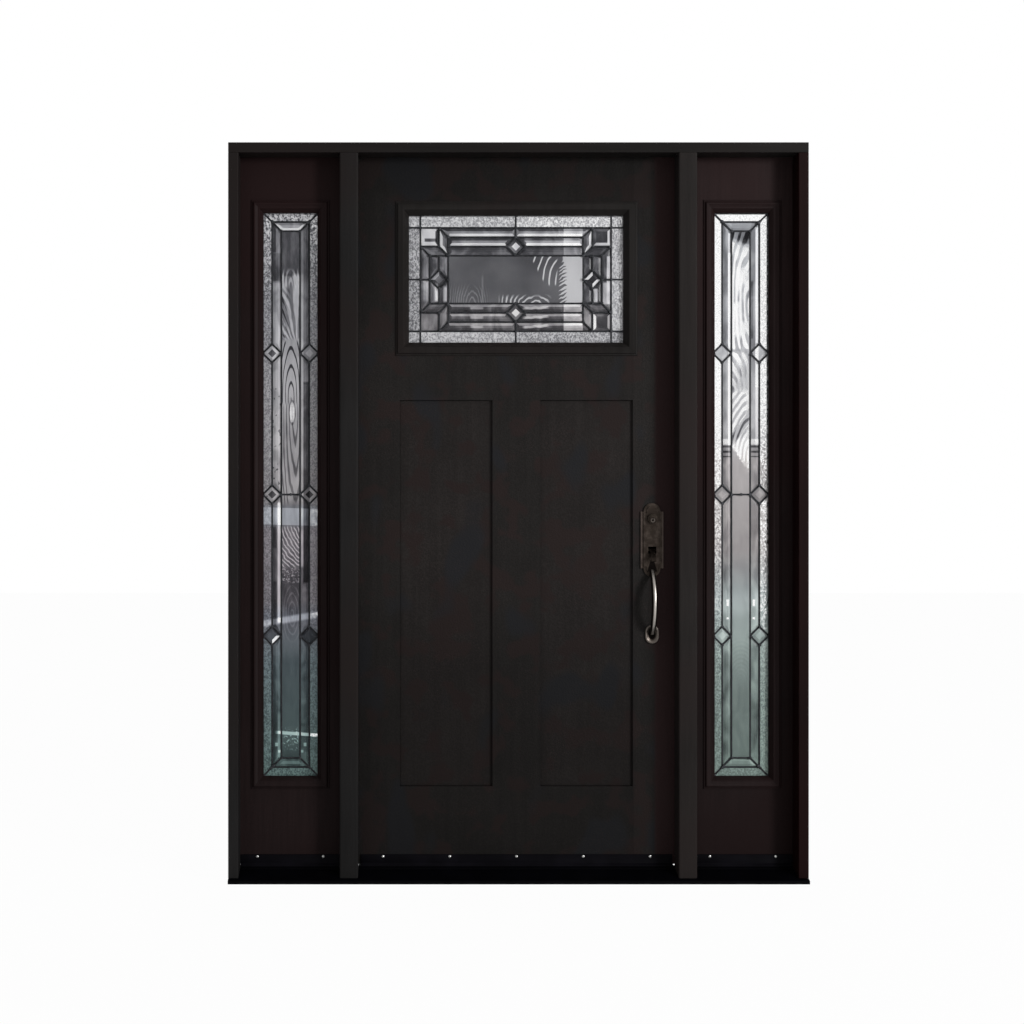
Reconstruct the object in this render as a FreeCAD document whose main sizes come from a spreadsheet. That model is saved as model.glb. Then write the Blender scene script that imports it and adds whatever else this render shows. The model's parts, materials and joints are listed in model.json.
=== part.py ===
# Entrance door with leaded sidelights: a rebated frame on a sloping sill, two fixed
# sidelights and one inward-opening leaf with a leaded light over two flat panels.
# Millimetres. X to the right seen from outside, Y inwards, Z up.
# The origin is the middle of the sill's underside, half-way through the frame's depth.
import FreeCAD, Part
import Sketcher
import math
import os
import re

os.makedirs("parts", exist_ok=True)
doc = FreeCAD.newDocument("door_with_sidelights")
Vector = FreeCAD.Vector
NEAR = 0.01
BAR_PAST_END = 0.2
BEVEL_SHARE = 0.7
LEAST_CUT = 0.01
GRIP_SIDES = 8

# Driving sizes, each written once
SIZES = {
    "leaf_width": 911,
    "leaf_height": 2021,
    "leaf_thick": 44.5,
    "leaf_gap": 5,
    "leaf_bevel": 2.3,
    "frame_depth": 116,
    "jamb_thick": 28.5,
    "post_width": 52.5,
    "post_round": 5,
    "jamb_round": 2.5,
    "stop_depth": 10,
    "seal_gap": 5,
    "seal_clear": 0.3,
    "seal_width": 7,
    "seal_edge": 1,
    "nose_reach": 14,
    "nose_height": 10,
    "nose_round": 2,
    "deck_reach": 50,
    "deck_top": 27,
    "channel_depth": 5,
    "cap_setback": 6,
    "cap_top": 33,
    "cap_width": 52,
    "cap_slope": 8,
    "stile_width": 123.5,
    "centre_width": 137,
    "bottom_rail": 222,
    "lock_rail": 140,
    "lite_height": 414,
    "top_rail": 143,
    "panel_recess": 8,
    "tongue_length": 10,
    "tongue_thick": 10,
    "joint_clear": 0.3,
    "slab_width": 302.5,
    "slab_gap": 1,
    "slab_stile": 52.75,
    "slab_bottom": 228,
    "slab_top": 139.5,
    "mould_lap": 13.5,
    "mould_proud": 8.5,
    "mould_crown": 15,
    "crown_ease": 1.5,
    "lip_thick": 2,
    "lap_flat": 7,
    "lap_step": 4.5,
    "lap_ease": 1,
    "cove_depth": 4.5,
    "cove_width": 4,
    "bead_top": 26,
    "bead_width": 4,
    "door_reach": 25.5,
    "slab_reach": 21.5,
    "pane_thick": 3,
    "pane_gap": 15,
    "pane_bite": 14,
    "spacer_width": 8,
    "came_width": 5,
    "came_thick": 6,
    "lead_glass": 3.4,
    "lead_module": 26.7,
    "lead_border": 33,
    "lead_bevel": 8,
    "lead_edge": 1.6,
    "row_pitch": 405,
    "drip_height": 28,
    "drip_thick": 4,
    "drip_lip": 11,
    "drip_setback": 6.5,
    "hinge_height": 102,
    "hinge_leaf": 2.5,
    "hinge_reach": 38,
    "hinge_knuckles": 3,
    "hinge_inset": 231,
    "knuckle_radius": 7,
    "knuckle_clear": 0.4,
    "axis_room": 0.5,
    "pin_radius": 4,
    "pin_clear": 0.05,
    "pin_head": 3,
    "pin_head_radius": 6,
    "backset": 69,
    "latch_height": 934,
    "bolt_centres": 89.5,
    "plate_below": 76,
    "plate_above": 44.5,
    "plate_width": 65,
    "plate_thick": 5,
    "plate_arch": 24,
    "plate_step": 8,
    "raise_thick": 3,
    "slot_width": 23,
    "slot_height": 20,
    "lock_bore": 34,
    "bore_depth": 34,
    "grip_drop": 20,
    "grip_span": 184,
    "grip_bow": 50,
    "grip_radius": 8.5,
    "foot_height": 54,
    "foot_width": 40,
    "foot_thick": 6,
    "thumb_width": 14,
    "thumb_thick": 4,
    "thumb_reach": 34,
    "thumb_drop": 30,
    "thumb_bend": 12.4,
    "thumb_dip": 6,
    "thumb_belly": 13.5,
    "thumb_pin": 2.5,
    "thumb_ear": 3,
    "thumb_side": 0.5,
    "lug_thick": 3,
    "cylinder_radius": 14,
    "cylinder_proud": 12,
    "face_radius": 11,
    "face_proud": 1,
    "key_width": 2.4,
    "key_height": 9,
    "key_depth": 5,
    "edge_plate_width": 25.4,
    "edge_plate_thick": 2.2,
    "latch_plate_height": 57,
    "strike_thick": 1.6,
    "strike_extra": 13,
    "rose_radius": 33,
    "rose_thick": 8,
    "neck_radius": 11,
    "knob_radius": 27,
    "knob_reach": 62,
    "knob_length": 26,
    "turn_rose": 25,
    "turn_reach": 26,
    "turn_width": 8,
    "turn_height": 34,
}

# Places worked out from the driving sizes
PLACES = {
    "outside": "-frame_depth / 2",
    "inside": "frame_depth / 2",
    "leaf_front": "inside - leaf_thick",
    "stop_face": "leaf_front - seal_gap",
    "middle": "inside - leaf_thick / 2",
    "leaf_right": "leaf_width / 2",
    "rebate_x": "leaf_right + leaf_gap",
    "stop_x": "rebate_x - stop_depth",
    "post_far": "stop_x + post_width",
    "post_rebate": "post_far - stop_depth",
    "slab_near": "post_rebate + slab_gap",
    "slab_far": "slab_near + slab_width",
    "slab_middle": "(slab_near + slab_far) / 2",
    "jamb_rebate": "slab_far + slab_gap",
    "jamb_stop": "jamb_rebate - stop_depth",
    "frame_right": "jamb_stop + jamb_thick",
    "leaf_foot": "cap_top + leaf_gap",
    "leaf_top": "leaf_foot + leaf_height",
    "rebate_top": "leaf_top + leaf_gap",
    "stop_top": "rebate_top - stop_depth",
    "frame_top": "stop_top + jamb_thick",
    "channel_floor": "deck_top - channel_depth",
    "nose_front": "outside - nose_reach",
    "deck_break": "outside + deck_reach",
    "cap_front": "deck_break + cap_setback",
    "cap_back": "cap_front + cap_width",
    "stile_x": "leaf_right - stile_width",
    "centre_x": "centre_width / 2",
    "lite_top": "leaf_top - top_rail",
    "lite_foot": "lite_top - lite_height",
    "panel_top": "lite_foot - lock_rail",
    "panel_foot": "leaf_foot + bottom_rail",
    "tongue_room": "tongue_length + joint_clear",
    "slab_open_x": "slab_width / 2 - slab_stile",
    "slab_open_foot": "leaf_foot + slab_bottom",
    "slab_open_top": "leaf_top - slab_top",
    "pane_inner": "pane_gap / 2",
    "pane_outer": "pane_inner + pane_thick",
    "axis_x": "-(leaf_right + rebate_x) / 2",
    "axis_y": "inside + knuckle_radius + axis_room",
    "knuckle_pitch": "hinge_height / hinge_knuckles",
    "lock_x": "leaf_right - backset",
    "plate_front": "leaf_front - plate_thick",
    "raise_front": "plate_front - raise_thick",
    "bolt_height": "latch_height + bolt_centres",
    "plate_foot": "latch_height - plate_below",
    "plate_top": "bolt_height + plate_above",
    "thumb_y": "leaf_front + thumb_pin + thumb_ear",
    "lug_x": "slot_width / 2",
    "grip_top": "plate_foot + grip_drop",
    "grip_foot": "grip_top - grip_span",
    "grip_curve": "(grip_span * grip_span / 4 + grip_bow * grip_bow) / (2 * grip_bow)",
}


def tied(formula, own=None):
    """A formula in plain size words, each word tied to the sheet that holds it."""
    def tie(match):
        word = match.group(0)
        if word in SIZES:
            return f"sizes.{word}"
        return word if own else f"places.{word}"
    return re.sub(r"[a-z][a-z_]+", tie, formula)


def fill_sheet(name, rows):
    sheet = doc.addObject("Spreadsheet::Sheet", name)
    for number, (word, content) in enumerate(rows.items(), 1):
        sheet.set(f"A{number}", word)
        sheet.set(f"B{number}", content)
        sheet.setAlias(f"B{number}", word)
    return sheet


sizes = fill_sheet("sizes", {word: str(value) for word, value in SIZES.items()})
places = fill_sheet("places", {word: "=" + tied(rule, own=True) for word, rule in PLACES.items()})
doc.recompute()


def read(word):
    """The present value of a size or place, for the pieces that are worked out in code."""
    return float((sizes if word in SIZES else places).get(word))


def read_signed(word):
    return -read(word[1:]) if word.startswith("-") else read(word)


def mirrored(side, formula):
    """The same distance from the middle on the left or on the right."""
    return formula if side == "right" else f"-({formula})"


# Bodies, outlines, pads and cuts
PARTS = []


def new_body(name):
    body = doc.addObject("PartDesign::Body", name)
    body.Label = name
    body.AllowCompound = True
    PARTS.append(body)
    return body


def new_sketch(body, plane, start, across="0", along="0"):
    """A sketch on one of the body's origin planes, moved out to start and over by across and along."""
    sketch = body.newObject("Sketcher::SketchObject", f"{body.Name}_outline")
    origin = next(item for item in body.Origin.OriginFeatures if item.Role == plane)
    sketch.AttachmentSupport = [(origin, "")]
    sketch.MapMode = "FlatFace"
    sketch.setExpression("AttachmentOffset.Base.x", tied(across))
    sketch.setExpression("AttachmentOffset.Base.y", tied(along))
    sketch.setExpression("AttachmentOffset.Base.z", tied(start))
    return sketch


def hold_point(sketch, element, point, spot, corner):
    """Ties one point of a sketch to a pair of formulas."""
    for kind, value, formula in zip(("DistanceX", "DistanceY"), spot, corner):
        held = sketch.addConstraint(Sketcher.Constraint(kind, -1, 1, element, point, value))
        sketch.setExpression(f"Constraints[{held}]", tied(formula))


def draw_loop(sketch, corners):
    """A closed outline of straight lines through the corners."""
    first = sketch.GeometryCount
    count = len(corners)
    turn = 2 * math.pi / count
    spots = [Vector(math.cos(turn * i), math.sin(turn * i), 0) for i in range(count)]
    for i in range(count):
        sketch.addGeometry(Part.LineSegment(spots[i], spots[(i + 1) % count]), False)
    for i in range(count):
        sketch.addConstraint(Sketcher.Constraint("Coincident", first + i, 2, first + (i + 1) % count, 1))
    for i, corner in enumerate(corners):
        hold_point(sketch, first + i, 1, spots[i], corner)


def draw_circle(sketch, corner, radius):
    element = sketch.addGeometry(Part.Circle(Vector(1, 1, 0), Vector(0, 0, 1), 1), False)
    hold_point(sketch, element, 3, (1, 1), corner)
    held = sketch.addConstraint(Sketcher.Constraint("Radius", element, 1))
    sketch.setExpression(f"Constraints[{held}]", tied(radius))


def rectangle(low_x, high_x, low_y, high_y):
    return [(low_x, low_y), (high_x, low_y), (high_x, high_y), (low_x, high_y)]


def pad(sketch, length):
    """Material from the sketch's plane along its normal."""
    feature = sketch.getParentGeoFeatureGroup().newObject("PartDesign::Pad", f"{sketch.Name}_pad")
    feature.Profile = sketch
    feature.setExpression("Length", tied(length))
    return feature


def cut(sketch, length):
    """A cut from the sketch's plane along its normal."""
    feature = sketch.getParentGeoFeatureGroup().newObject("PartDesign::Pocket", f"{sketch.Name}_cut")
    feature.Profile = sketch
    feature.Reversed = True
    feature.setExpression("Length", tied(length))
    return feature


def pad_loop(body, plane, start, length, *loops):
    sketch = new_sketch(body, plane, start)
    for corners in loops:
        draw_loop(sketch, corners)
    return pad(sketch, length)


def cut_loop(body, plane, start, length, *loops):
    sketch = new_sketch(body, plane, start)
    for corners in loops:
        draw_loop(sketch, corners)
    return cut(sketch, length)


def pad_disc(body, plane, start, length, corner, radius):
    sketch = new_sketch(body, plane, start)
    draw_circle(sketch, corner, radius)
    return pad(sketch, length)


def cut_disc(body, plane, start, length, corner, radius):
    sketch = new_sketch(body, plane, start)
    draw_circle(sketch, corner, radius)
    return cut(sketch, length)


# Plates that stand in the wall's plane run from their back face towards the outside
def upright(body, back, thick, *loops):
    return pad_loop(body, "XZ_Plane", f"-({back})", thick, *loops)


def cut_upright(body, back, thick, *loops):
    return cut_loop(body, "XZ_Plane", f"-({back})", thick, *loops)


def turned(body, height, corners):
    """A form turned about a level axis through the leaf at the lock's distance, at this height."""
    sketch = new_sketch(body, "YZ_Plane", "lock_x", along=height)
    draw_loop(sketch, corners)
    feature = body.newObject("PartDesign::Revolution", f"{sketch.Name}_turn")
    feature.Profile = sketch
    feature.ReferenceAxis = (sketch, ["H_Axis"])
    return feature


def round_upright_edges(body, radius, *spots):
    """Rounds the upright edges that stand at these plan positions."""
    doc.recompute()
    base = body.Tip
    wanted = [(read_signed(across), read_signed(depth)) for across, depth in spots]
    names = []
    for number, edge in enumerate(base.Shape.Edges, 1):
        for across, depth in wanted:
            if all(math.hypot(spot.X - across, spot.Y - depth) < NEAR for spot in edge.Vertexes):
                names.append(f"Edge{number}")
    fillet = body.newObject("PartDesign::Fillet", f"{body.Name}_round")
    fillet.Base = (base, names)
    fillet.setExpression("Radius", tied(radius))
    return fillet


# Sill: a sloping deck with a rounded nose, and a channel that holds the threshold caps
SILL_SECTION = [
    ("nose_front", "0"),
    ("nose_front", "nose_height - nose_round"),
    ("nose_front + nose_round", "nose_height"),
    ("deck_break", "deck_top"),
    ("cap_front", "deck_top"),
    ("cap_front", "channel_floor"),
    ("cap_back", "channel_floor"),
    ("cap_back", "deck_top - nose_round"),
    ("inside", "deck_top - nose_round"),
    ("inside", "0"),
]
HEAD_SECTION = [
    ("outside", "stop_top"),
    ("stop_face", "stop_top"),
    ("stop_face", "rebate_top"),
    ("inside", "rebate_top"),
    ("inside", "frame_top"),
    ("outside", "frame_top"),
]
FULL_WIDTH = ("-frame_right", "2 * frame_right")
BAYS = {
    "door": ("-stop_x", "stop_x"),
    "left": ("-jamb_stop", "-post_far"),
    "right": ("post_far", "jamb_stop"),
}


def build_sill():
    body = new_body("sill_base")
    pad_loop(body, "YZ_Plane", *FULL_WIDTH, SILL_SECTION)


def build_threshold_caps():
    body = new_body("threshold_caps")
    section = [
        ("cap_front + joint_clear", "channel_floor"),
        ("cap_front + joint_clear", "deck_top + joint_clear"),
        ("cap_front + cap_slope", "cap_top"),
        ("cap_back - cap_slope", "cap_top"),
        ("cap_back - joint_clear", "deck_top + joint_clear"),
        ("cap_back - joint_clear", "channel_floor"),
    ]
    for low, high in BAYS.values():
        pad_loop(body, "YZ_Plane", f"{low} + joint_clear", f"{high} - ({low}) - 2 * joint_clear", section)


# Head, side jambs and posts, rebated on the inside half; the feet follow the sill's slope
def build_head():
    body = new_body("head_jamb")
    pad_loop(body, "YZ_Plane", *FULL_WIDTH, HEAD_SECTION)


def build_upright_member(name, side, corners, radius, rounded):
    body = new_body(name)
    plan = [(mirrored(side, across), depth) for across, depth in corners]
    pad_loop(body, "XY_Plane", "0", "frame_top", plan)
    sign = "" if side == "right" else "-"
    round_upright_edges(body, radius, *[(sign + across, "outside") for across in rounded])
    cut_loop(body, "YZ_Plane", *FULL_WIDTH, SILL_SECTION)
    cut_loop(body, "YZ_Plane", *FULL_WIDTH, HEAD_SECTION)
    return body


def build_uprights():
    jamb = [
        ("frame_right", "outside"),
        ("jamb_stop", "outside"),
        ("jamb_stop", "stop_face"),
        ("jamb_rebate", "stop_face"),
        ("jamb_rebate", "inside"),
        ("frame_right", "inside"),
    ]
    post = [
        ("stop_x", "outside"),
        ("post_far", "outside"),
        ("post_far", "stop_face"),
        ("post_rebate", "stop_face"),
        ("post_rebate", "inside"),
        ("rebate_x", "inside"),
        ("rebate_x", "stop_face"),
        ("stop_x", "stop_face"),
    ]
    for side in ("left", "right"):
        build_upright_member(f"side_jamb_{side}", side, jamb, "jamb_round", ["jamb_stop"])
    left_post = build_upright_member("mullion_post_left", "left", post, "post_round", ["stop_x", "post_far"])
    right_post = build_upright_member("mullion_post_right", "right", post, "post_round", ["stop_x", "post_far"])
    for height in HINGE_HEIGHTS:
        cut_loop(left_post, "XY_Plane", f"{height} - hinge_height / 2", "hinge_height",
                 rectangle("-rebate_x - hinge_leaf", "-rebate_x", "inside - hinge_reach", "inside"))
    for height, tall in STRIKES:
        cut_loop(right_post, "XY_Plane", f"{height} - ({tall}) / 2", tall, strike_plan())


# Weatherstrips in the corner of the stop, on three sides of each bay
def build_weatherstrips():
    body = new_body("weatherstrips")
    runs = {
        "door": ("-stop_x - seal_edge", "stop_x + seal_edge", "seal_clear"),
        "left": ("-jamb_stop - seal_edge", "-post_far + seal_edge", "0"),
        "right": ("post_far - seal_edge", "jamb_stop + seal_edge", "0"),
    }
    top = "stop_top + seal_edge"
    for near, far, clear in runs.values():
        upright(body, f"leaf_front - {clear}", f"seal_gap - {clear}", [
            (f"{near} - seal_width", "leaf_foot"),
            (near, "leaf_foot"),
            (near, top),
            (far, top),
            (far, "leaf_foot"),
            (f"{far} + seal_width", "leaf_foot"),
            (f"{far} + seal_width", f"{top} + seal_width"),
            (f"{near} - seal_width", f"{top} + seal_width"),
        ])


# Butt hinges: leaves let into the post and the leaf's edge, three knuckles on a loose pin
HINGE_HEIGHTS = (
    "leaf_foot + hinge_inset",
    "(leaf_foot + leaf_top) / 2",
    "leaf_top - hinge_inset",
)
AXIS = ("axis_x", "axis_y")


def build_hinge_leaves(name, plate_low, plate_high, knuckles):
    body = new_body(name)
    for height in HINGE_HEIGHTS:
        low = f"{height} - hinge_height / 2"
        pad_loop(body, "XY_Plane", low, "hinge_height",
                 rectangle(plate_low, plate_high, "inside - hinge_reach", "inside"))
        for knuckle in knuckles:
            start = f"{low} + {knuckle} * knuckle_pitch + knuckle_clear / 2"
            tall = "knuckle_pitch - knuckle_clear"
            pad_loop(body, "XY_Plane", start, tall, rectangle(plate_low, plate_high, "inside", "axis_y"))
            pad_disc(body, "XY_Plane", start, tall, AXIS, "knuckle_radius")
    cut_disc(body, "XY_Plane", "0", "frame_top", AXIS, "pin_radius + pin_clear")
    return body


def build_hinge_pins():
    body = new_body("hinge_pins")
    for height in HINGE_HEIGHTS:
        foot = f"{height} - hinge_height / 2"
        pad_disc(body, "XY_Plane", foot, "hinge_height + pin_head", AXIS, "pin_radius")
        pad_disc(body, "XY_Plane", f"{height} + hinge_height / 2", "pin_head", AXIS, "pin_head_radius")


# Strike plates in the right post, opposite the latch and the bolt
STRIKES = (
    ("latch_height", "latch_plate_height + strike_extra"),
    ("bolt_height", "latch_plate_height + strike_extra"),
)


def strike_plan():
    return rectangle("rebate_x", "rebate_x + strike_thick",
                     "middle - edge_plate_width / 2", "middle + edge_plate_width / 2")


def build_strike_plates():
    body = new_body("strike_plates")
    for height, tall in STRIKES:
        pad_loop(body, "XY_Plane", f"{height} - ({tall}) / 2", tall, strike_plan())


# Drip strips: a face strip, a sloping lip and a web that closes the gap under the slab
def drip_section(foot):
    return [
        ("leaf_front", foot),
        ("leaf_front - drip_lip", foot),
        ("leaf_front - drip_lip", f"{foot} + drip_thick / 2"),
        ("leaf_front - drip_thick", f"{foot} + drip_thick * 2"),
        ("leaf_front - drip_thick", "leaf_foot + drip_height"),
        ("leaf_front", "leaf_foot + drip_height"),
    ]


def build_sidelight_drips():
    body = new_body("sidelight_drip_caps")
    for side in ("left", "right"):
        low, high = BAYS[side]
        pad_loop(body, "YZ_Plane", f"{low} + joint_clear", f"{high} - ({low}) - 2 * joint_clear",
                 drip_section("cap_top"))
        pad_loop(body, "YZ_Plane", f"{low} + joint_clear", f"{high} - ({low}) - 2 * joint_clear",
                 rectangle("leaf_front", "cap_back - cap_slope", "cap_top", "leaf_foot"))


# Mouldings: a section that laps on the slab and steps down to the glass, run round the opening.
# Each corner is its distance out from the sight edge and its height over the slab's face.
def door_moulding_section():
    lap = "door_reach + mould_lap"
    bed = "-(leaf_thick / 2 - pane_outer)"
    return [
        ("0", bed),
        ("0", f"{bed} + lip_thick"),
        ("mould_crown - crown_ease", "mould_proud - crown_ease"),
        ("mould_crown", "mould_proud"),
        (f"{lap} - lap_flat", "mould_proud"),
        (f"{lap} - lap_flat + crown_ease", "mould_proud - lap_step"),
        (f"{lap} - lap_ease", "mould_proud - lap_step - lap_ease"),
        (lap, "crown_ease"),
        (lap, "0"),
        ("door_reach - joint_clear", "0"),
        ("door_reach - joint_clear", bed),
    ]


def slab_moulding_section():
    lap = "slab_reach + mould_lap"
    bed = "-(leaf_thick / 2 - pane_outer)"
    return [
        ("0", bed),
        ("0", f"{bed} + lip_thick"),
        ("mould_crown - cove_width", "mould_proud - cove_depth + lap_ease / 2"),
        ("mould_crown", "mould_proud - cove_depth"),
        ("mould_crown + cove_width", "mould_proud - cove_depth + crown_ease"),
        ("bead_top - lap_ease * 3", "mould_proud - lap_ease / 2"),
        ("bead_top", "mould_proud"),
        ("bead_top + bead_width / 2", "mould_proud - lap_ease"),
        ("bead_top + bead_width", "mould_proud - lap_step - lap_ease / 2"),
        (f"{lap} - lap_ease", "mould_proud - lap_step - lap_ease"),
        (lap, "crown_ease"),
        (lap, "0"),
        ("slab_reach - joint_clear", "0"),
        ("slab_reach - joint_clear", bed),
    ]


def build_moulding(name, section, facing, centre, sight):
    """facing is outer or inner; centre is the sight's x, and sight its half width, foot and top."""
    half, foot, top = sight
    body = new_body(name)
    path = new_sketch(body, "XZ_Plane", "0", across=centre)
    draw_loop(path, rectangle(f"-({half})", half, foot, top))
    outline = new_sketch(body, "YZ_Plane", centre)
    face, sign = ("leaf_front", "-") if facing == "outer" else ("inside", "+")
    draw_loop(outline, [(f"{face} {sign} ({rise})", f"{foot} - ({out})") for out, rise in section])
    run = body.newObject("PartDesign::AdditivePipe", f"{name}_run")
    run.Profile = outline
    run.Spine = (path, ["Edge1", "Edge2", "Edge3", "Edge4"])
    run.Transition = "Right corner"


# Sealed glass units: two panes, with the leaded panel and its spacer between them
def build_panes(name, centre, sight):
    half, foot, top = sight
    body = new_body(name)
    corners = rectangle(f"{centre} - ({half}) - pane_bite", f"{centre} + {half} + pane_bite",
                        f"{foot} - pane_bite", f"{top} + pane_bite")
    upright(body, "middle - pane_inner", "pane_thick", corners)
    upright(body, "middle + pane_outer", "pane_thick", corners)


def flat_face(corners):
    return Part.Face(Part.makePolygon(corners + corners[:1]))


def flat_strip(start, end, width):
    """A flat bar in the XZ plane, centred on the line, that ends inside the bars it meets."""
    line = (end - start).normalize() * width
    side = Vector(-line.z, 0, line.x) / 2
    low, high = start - line * BAR_PAST_END, end + line * BAR_PAST_END
    return flat_face([low + side, high + side, high - side, low - side])


def flat_rectangle(half_x, half_z):
    return flat_face([Vector(-half_x, 0, -half_z), Vector(half_x, 0, -half_z),
                      Vector(half_x, 0, half_z), Vector(-half_x, 0, half_z)])


def mirrored_lines(lines):
    """Each line in all four quarters of the panel, without the copies that fall on themselves."""
    found = {}
    for sx in (1, -1):
        for sz in (1, -1):
            for (ax, az), (bx, bz) in lines:
                ends = sorted([(round(sx * ax, 4), round(sz * az, 4)), (round(sx * bx, 4), round(sz * bz, 4))])
                found[tuple(ends)] = True
    return [[Vector(x, 0, z) for x, z in ends] for ends in found]


def diamond_lines(x, z, reach):
    tips = [(x + reach, z), (x, z + reach), (x - reach, z), (x, z - reach)]
    return list(zip(tips, tips[1:] + tips[:1]))


def door_lead_lines(half_x, half_z, edge_x, edge_z):
    """Borders, knot squares, diamonds and bands of the door's panel, from the border line inwards."""
    step = read("lead_module")
    bx, bz = half_x - read("lead_border"), half_z - read("lead_border")
    x_one, x_two, x_three = (bx - step * i for i in (1, 2, 3))
    z_one, z_two, z_three = (bz - step * i for i in (1, 2, 3))
    lines = [
        ((bx, 0), (bx, edge_z)),
        ((0, bz), (edge_x, bz)),
        ((0, z_one), (0, edge_z)),
        ((x_one, 0), (edge_x, 0)),
        ((0, z_one), (x_three, z_one)),
        ((step, z_two), (x_three, z_two)),
        ((0, z_three), (x_one, z_three)),
        ((x_three, 0), (x_three, z_one)),
        ((x_one, 0), (x_one, z_three)),
        ((x_two, step), (x_two, z_three)),
        ((x_two, z_two), (x_two, bz)),
        ((x_two, z_two), (bx, z_two)),
        ((bx, z_two), (x_one, z_three)),
        ((x_three, z_three), (x_two, z_two)),
        ((x_two, bz), (x_three, z_one)),
    ]
    lines += diamond_lines(0, z_two, step)
    lines += diamond_lines(x_two, 0, step)
    return mirrored_lines(lines)


def door_plain_cell(x, z, half_x, half_z):
    """The granular border and the streaky middle have no bevel."""
    border = read("lead_border")
    return x > half_x - border or z > half_z - border or (x < NEAR and z < NEAR)


def slab_plain_cell(x, z, half_x, half_z):
    """The granular edge strips and the streaky middle have no bevel, and the diamonds do."""
    step, pitch = read("lead_module"), read("row_pitch")
    in_row = min(abs(z - row) for row in (0, pitch)) < step / 2
    at_end = z > half_z - (half_x - 2 * step)
    return (x > 2 * step + step / 5 and not in_row) or at_end or x < step / 5 and z < half_z - half_x


def slab_lead_lines(half_x, half_z, edge_x, edge_z):
    """Upright lines, mitred ends and three rows of diamonds of a sidelight's panel."""
    step, pitch = read("lead_module"), read("row_pitch")
    outer_bar = half_z - (half_x - 2 * step)
    inner_bar = half_z - (half_x - step)
    past = edge_x - half_x
    lines = [
        ((edge_x, half_z + past), (step, inner_bar)),
        ((0, outer_bar), (2 * step, outer_bar)),
        ((0, inner_bar), (step, inner_bar)),
        ((step, 0), (step, inner_bar)),
        ((2 * step, step), (2 * step, pitch - step)),
        ((2 * step, pitch + step), (2 * step, outer_bar)),
        ((0, 0), (step, 0)),
    ]
    for row in (0, pitch):
        lines += diamond_lines(2 * step, row, step)
    return mirrored_lines(lines)


def new_solid(name, shape, place):
    """A piece whose shape is worked out in code, set at its place afterwards."""
    feature = doc.addObject("Part::Feature", name)
    feature.Label = name
    feature.Shape = shape
    feature.Placement = FreeCAD.Placement(place, FreeCAD.Rotation())
    PARTS.append(feature)
    return feature


def centred_slab(face, thick):
    """A flat face in the XZ plane, given its thickness half to each side."""
    shifted = face.translated(Vector(0, -thick / 2, 0))
    return shifted.extrude(Vector(0, thick, 0))


def corners_of(cell):
    """The corners of a flat cell in order, without the points that lie along a side."""
    spots = [vertex.Point for vertex in cell.OuterWire.OrderedVertexes]
    before, after = spots[-1:] + spots[:-1], spots[1:] + spots[:1]
    return [spot for last, spot, following in zip(before, spots, after)
            if (spot - last).normalize().cross((following - spot).normalize()).Length > NEAR]


def inset_corners(corners, inset):
    """The corners of a convex outline drawn in by inset, each where two shifted sides cross."""
    middle = sum(corners, Vector()) / len(corners)
    before, after = corners[-1:] + corners[:-1], corners[1:] + corners[:1]
    found = []
    for last, corner, following in zip(before, corners, after):
        arriving, leaving = (corner - last).normalize(), (following - corner).normalize()
        inwards = [Vector(-way.z, 0, way.x) for way in (arriving, leaving)]
        inwards = [way if way.dot(middle - corner) > 0 else -way for way in inwards]
        both = inwards[0] + inwards[1]
        found.append(corner + both * (inset / both.dot(inwards[0])))
    return found


def bevelled_glass(cell):
    """A piece of glass with a flat back and a bevel round its face, narrower on a narrow piece."""
    corners = corners_of(cell)
    reach = min(Part.Vertex(cell.CenterOfMass).distToShape(edge)[0] for edge in cell.OuterWire.Edges)
    inset = min(read("lead_bevel"), reach * BEVEL_SHARE)
    half = read("lead_glass") / 2
    levels = ((corners, half), (corners, half - read("lead_edge")), (inset_corners(corners, inset), -half))
    rings = [[corner + Vector(0, depth, 0) for corner in ring] for ring, depth in levels]
    outlines = [rings[0], rings[-1]]
    for low, high in zip(rings, rings[1:]):
        for i in range(len(corners)):
            outlines.append([low[i - 1], low[i], high[i], high[i - 1]])
    return Part.makeSolid(Part.makeShell([flat_face(outline) for outline in outlines]))


def build_leaded_panel(prefix, centre, half_x, foot, top, lines_of, is_plain):
    half_z = (top - foot) / 2
    rim = read("pane_bite") - read("spacer_width")
    edge_x, edge_z = half_x + rim, half_z + rim
    width = read("came_width")
    bars = [flat_strip(start, end, width) for start, end in lines_of(half_x, half_z, edge_x, edge_z)]
    sheet = flat_rectangle(edge_x, edge_z)
    cells = flat_rectangle(edge_x - width, edge_z - width).cut(bars).Faces
    lattice = centred_slab(sheet.cut(Part.makeCompound(cells)), read("came_thick"))
    ring = flat_rectangle(half_x + read("pane_bite"), half_z + read("pane_bite")).cut(sheet)
    spacer = centred_slab(ring, read("pane_gap"))
    place = Vector(centre, read("middle"), (foot + top) / 2)
    new_solid(f"{prefix}_came", lattice.fuse(spacer).removeSplitter(), place)
    glass = []
    for cell in cells:
        spot = cell.CenterOfMass
        plain = is_plain(abs(spot.x), abs(spot.z), half_x, half_z)
        glass.append(centred_slab(cell, read("lead_glass")) if plain else bevelled_glass(cell))
    new_solid(f"{prefix}_leaded_glass", Part.makeCompound(glass), place)


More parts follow.
